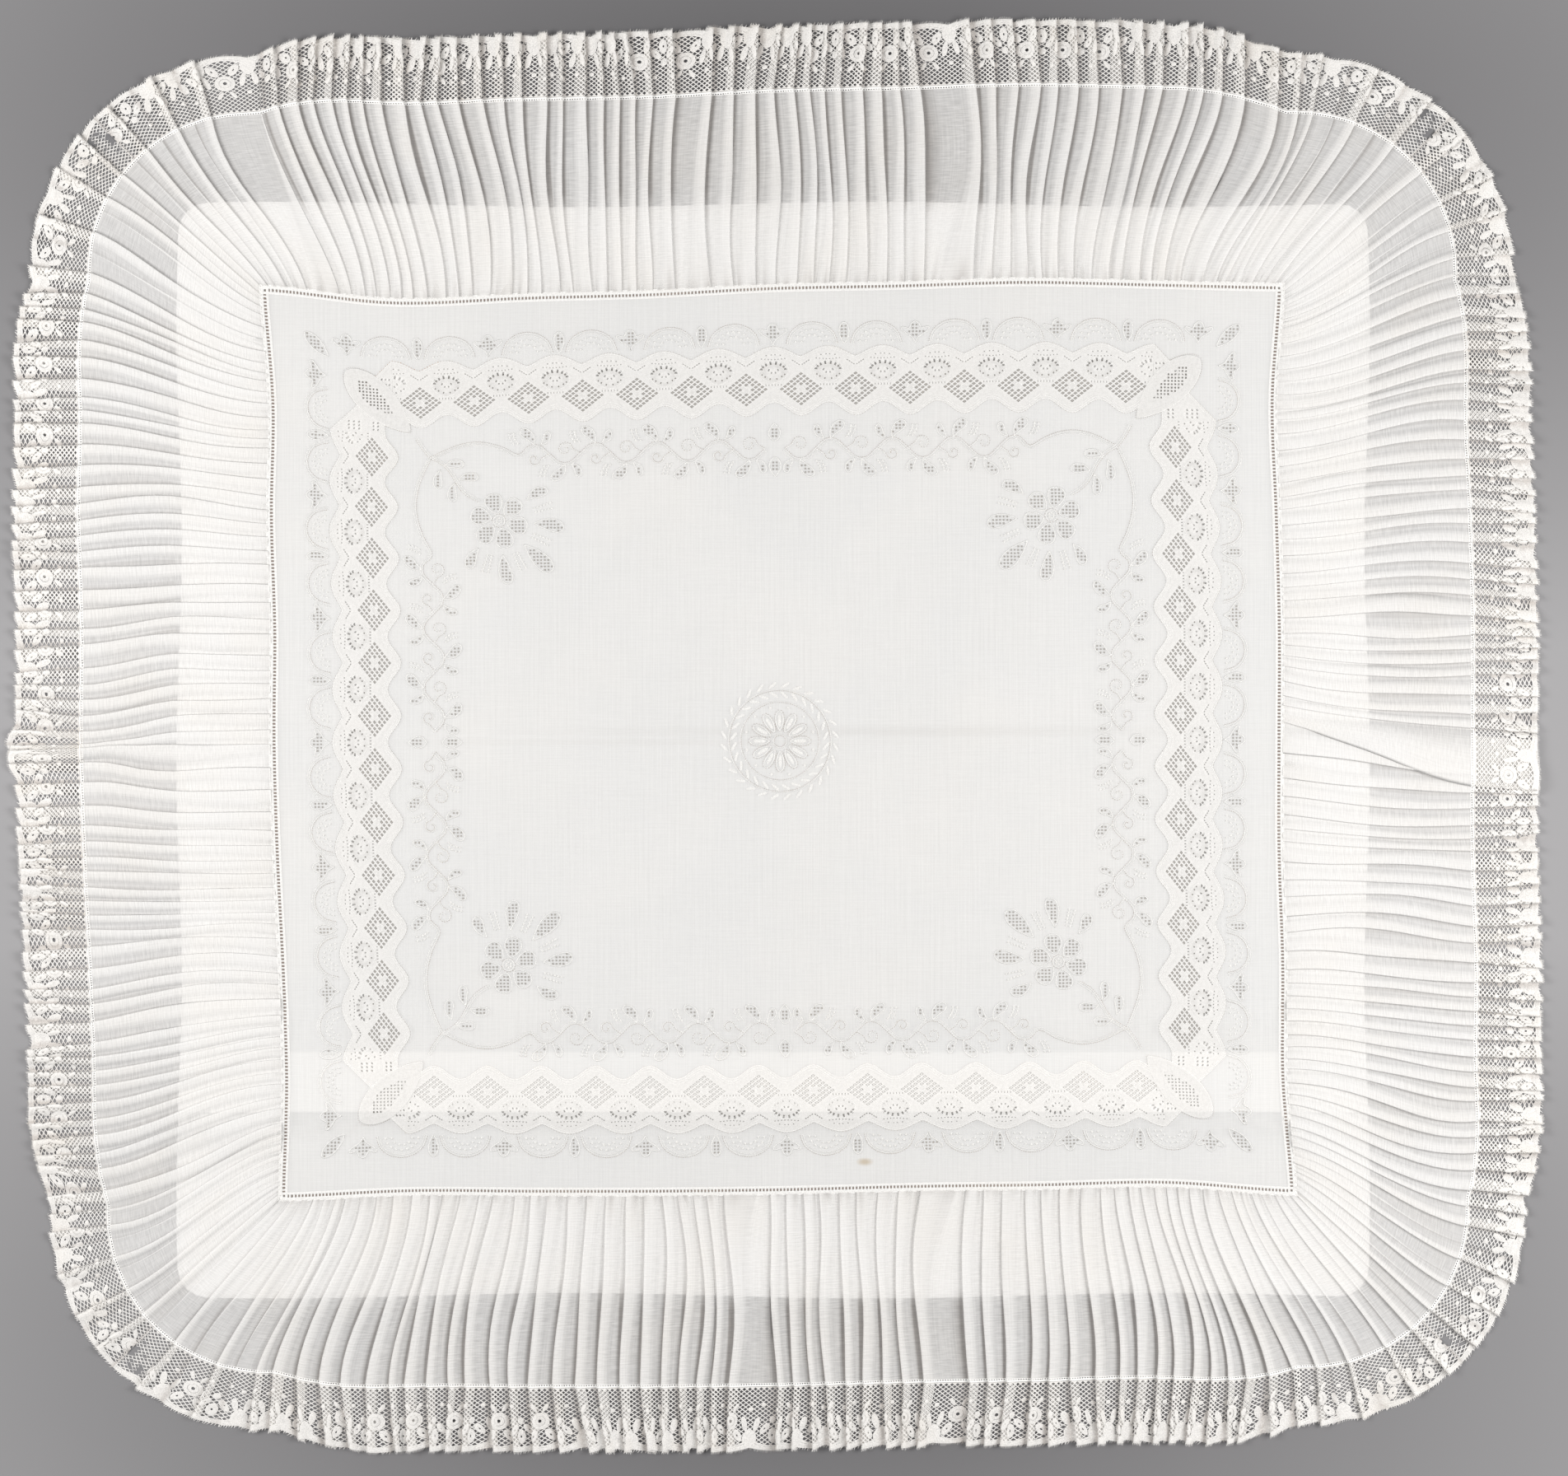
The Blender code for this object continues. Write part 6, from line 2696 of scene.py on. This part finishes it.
            bpy.ops.object.mode_set(mode="OBJECT")
            lay_on_panel(ground, self.plan, white.level)
            finish_piece(ground, MATERIALS["lawn"], [node])
            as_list(dressing[node])

    def edge_ring(self) -> Outline:
        """The panel's cut edge, clockwise, with points along its sides."""
        ring = []
        for side in Side:
            sizes = self.plan.sizes[side]
            half, reach = sizes.half + self.edge, sizes.reach + self.edge
            steps = round(2.0 * half / self.outline_step)
            ring += [side.plan_point(half * (2.0 * step / steps - 1.0), reach) for step in range(steps)]
        return ring


# ---------------------------------------------------------------------------
# The studio.
# ---------------------------------------------------------------------------


@dataclass
class Studio:
    """A pale floor with painted shadows at the cloth's top and bottom, soft light and the camera straight above."""

    pixel: float = 0.27
    image_width: int = 1904
    lens: float = 100.0
    sensor: float = 36.0
    # Painted shadows on the floor, darkest under the middle of the cloth's top and bottom edges and fading outwards.
    painted_floor_shadows: tuple[Mark, ...] = (
        Mark((0.0, 190.0), (490.0, 190.0), (0.25, 0.25, 0.255), 1.0, 1.0),
        Mark((0.0, -190.0), (370.0, 170.0), (0.33, 0.33, 0.335), 1.0, 1.0),
    )

    def build(self, plan: Plan) -> None:
        """Set up the floor, the lights and the camera."""
        self.build_floor()
        self.build_lights()
        self.build_camera(plan)

    def build_floor(self) -> None:
        """A pale grey paper floor, with painted shadows at the cloth's top and bottom."""
        deselect_all()
        bpy.ops.mesh.primitive_plane_add(size=6.0, location=(0.0, 0.0, 0.0))
        floor = bpy.context.object
        floor.name = "floor"
        weave = Weave("floor_paper")
        place = weave.node("ShaderNodeTexCoord").outputs["Object"]
        colour = weave.tint(weave.streaks(place, 60.0, 60.0, 2.0), (0.345, 0.342, 0.351), (0.358, 0.355, 0.364))
        for mark in self.painted_floor_shadows:
            colour = weave.darken(colour, weave.spot(place, mark), mark.tone)
        weave.plug(weave.shader.inputs["Base Color"], colour)
        weave.shader.inputs["Roughness"].default_value = 0.95
        weave.shader.inputs["Specular IOR Level"].default_value = 0.1
        floor.data.materials.append(weave.material)

    def build_lights(self) -> None:
        """Two softboxes beside the camera and an even sky."""
        for name, place, energy, size in (
            ("left", (-0.64, 0.04, 0.58), 4.75, 0.4),
            ("right", (0.64, -0.03, 0.58), 5.0, 0.4),
        ):
            light = bpy.data.lights.new(name, "AREA")
            light.energy = energy
            light.color = (1.0, 0.985, 0.97)
            light.size = size
            lamp = bpy.data.objects.new(name, light)
            lamp.location = place
            lamp.rotation_euler = (-Vector(place)).to_track_quat("-Z", "Y").to_euler()
            bpy.context.scene.collection.objects.link(lamp)
        world = bpy.data.worlds.new("studio")
        world.use_nodes = True
        sky = world.node_tree.nodes["Background"]
        sky.inputs["Color"].default_value = (1.0, 0.99, 0.985, 1.0)
        sky.inputs["Strength"].default_value = 0.33
        bpy.context.scene.world = world
        bpy.context.scene.view_settings.view_transform = "Standard"

    def build_camera(self, plan: Plan) -> None:
        """A camera straight above, at the photograph's scale."""
        camera = bpy.data.cameras.new("camera")
        camera.lens = self.lens
        camera.sensor_width = self.sensor
        rig = bpy.data.objects.new("camera", camera)
        height = self.image_width * self.pixel * MM * self.lens / self.sensor
        middle = plan.to_frame(1.35, 1.08, 0.0)
        rig.location = (middle.x, middle.y, height)
        bpy.context.scene.collection.objects.link(rig)
        bpy.context.scene.camera = rig


MATERIALS: dict[str, bpy.types.Material] = {}


def build_materials() -> None:
    """Make every finish once."""
    for key, finish in (
        ("batiste", BATISTE),
        ("lawn", LAWN),
        ("cotton", COTTON),
        ("insertion", INSERTION),
        ("lace", LACE),
        ("cord", CORD),
        ("whitework", WHITEWORK),
        ("cotton_thread", SEAM),
        ("satin", SATIN),
        ("pin", NEEDLE_HOLE_SHADE),
        ("shade", SHADE),
        ("ladder", LADDER_SHADE),
        ("rust", RUST),
    ):
        MATERIALS[key] = finish.build()


def main() -> None:
    """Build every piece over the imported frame."""
    logging.basicConfig(level=logging.INFO, format="%(message)s")
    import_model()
    deselect_all()
    plan = Plan()
    backing = Backing(plan)
    backing.find_shift()
    Studio().build(plan)
    build_materials()
    backing.build()
    Panel(plan).build()
    shape_rng = random.Random(7)
    look_rng = random.Random(19)
    for side in Side:
        run = PleatedLength(plan, side, shape_rng, look_rng)
        Frill(run).build()
        LaceEdging(run).build()
        LOG.info("%s: %.0f mm of cloth", side.value, run.length)
    deselect_all()


if __name__ == "__main__":
    main()
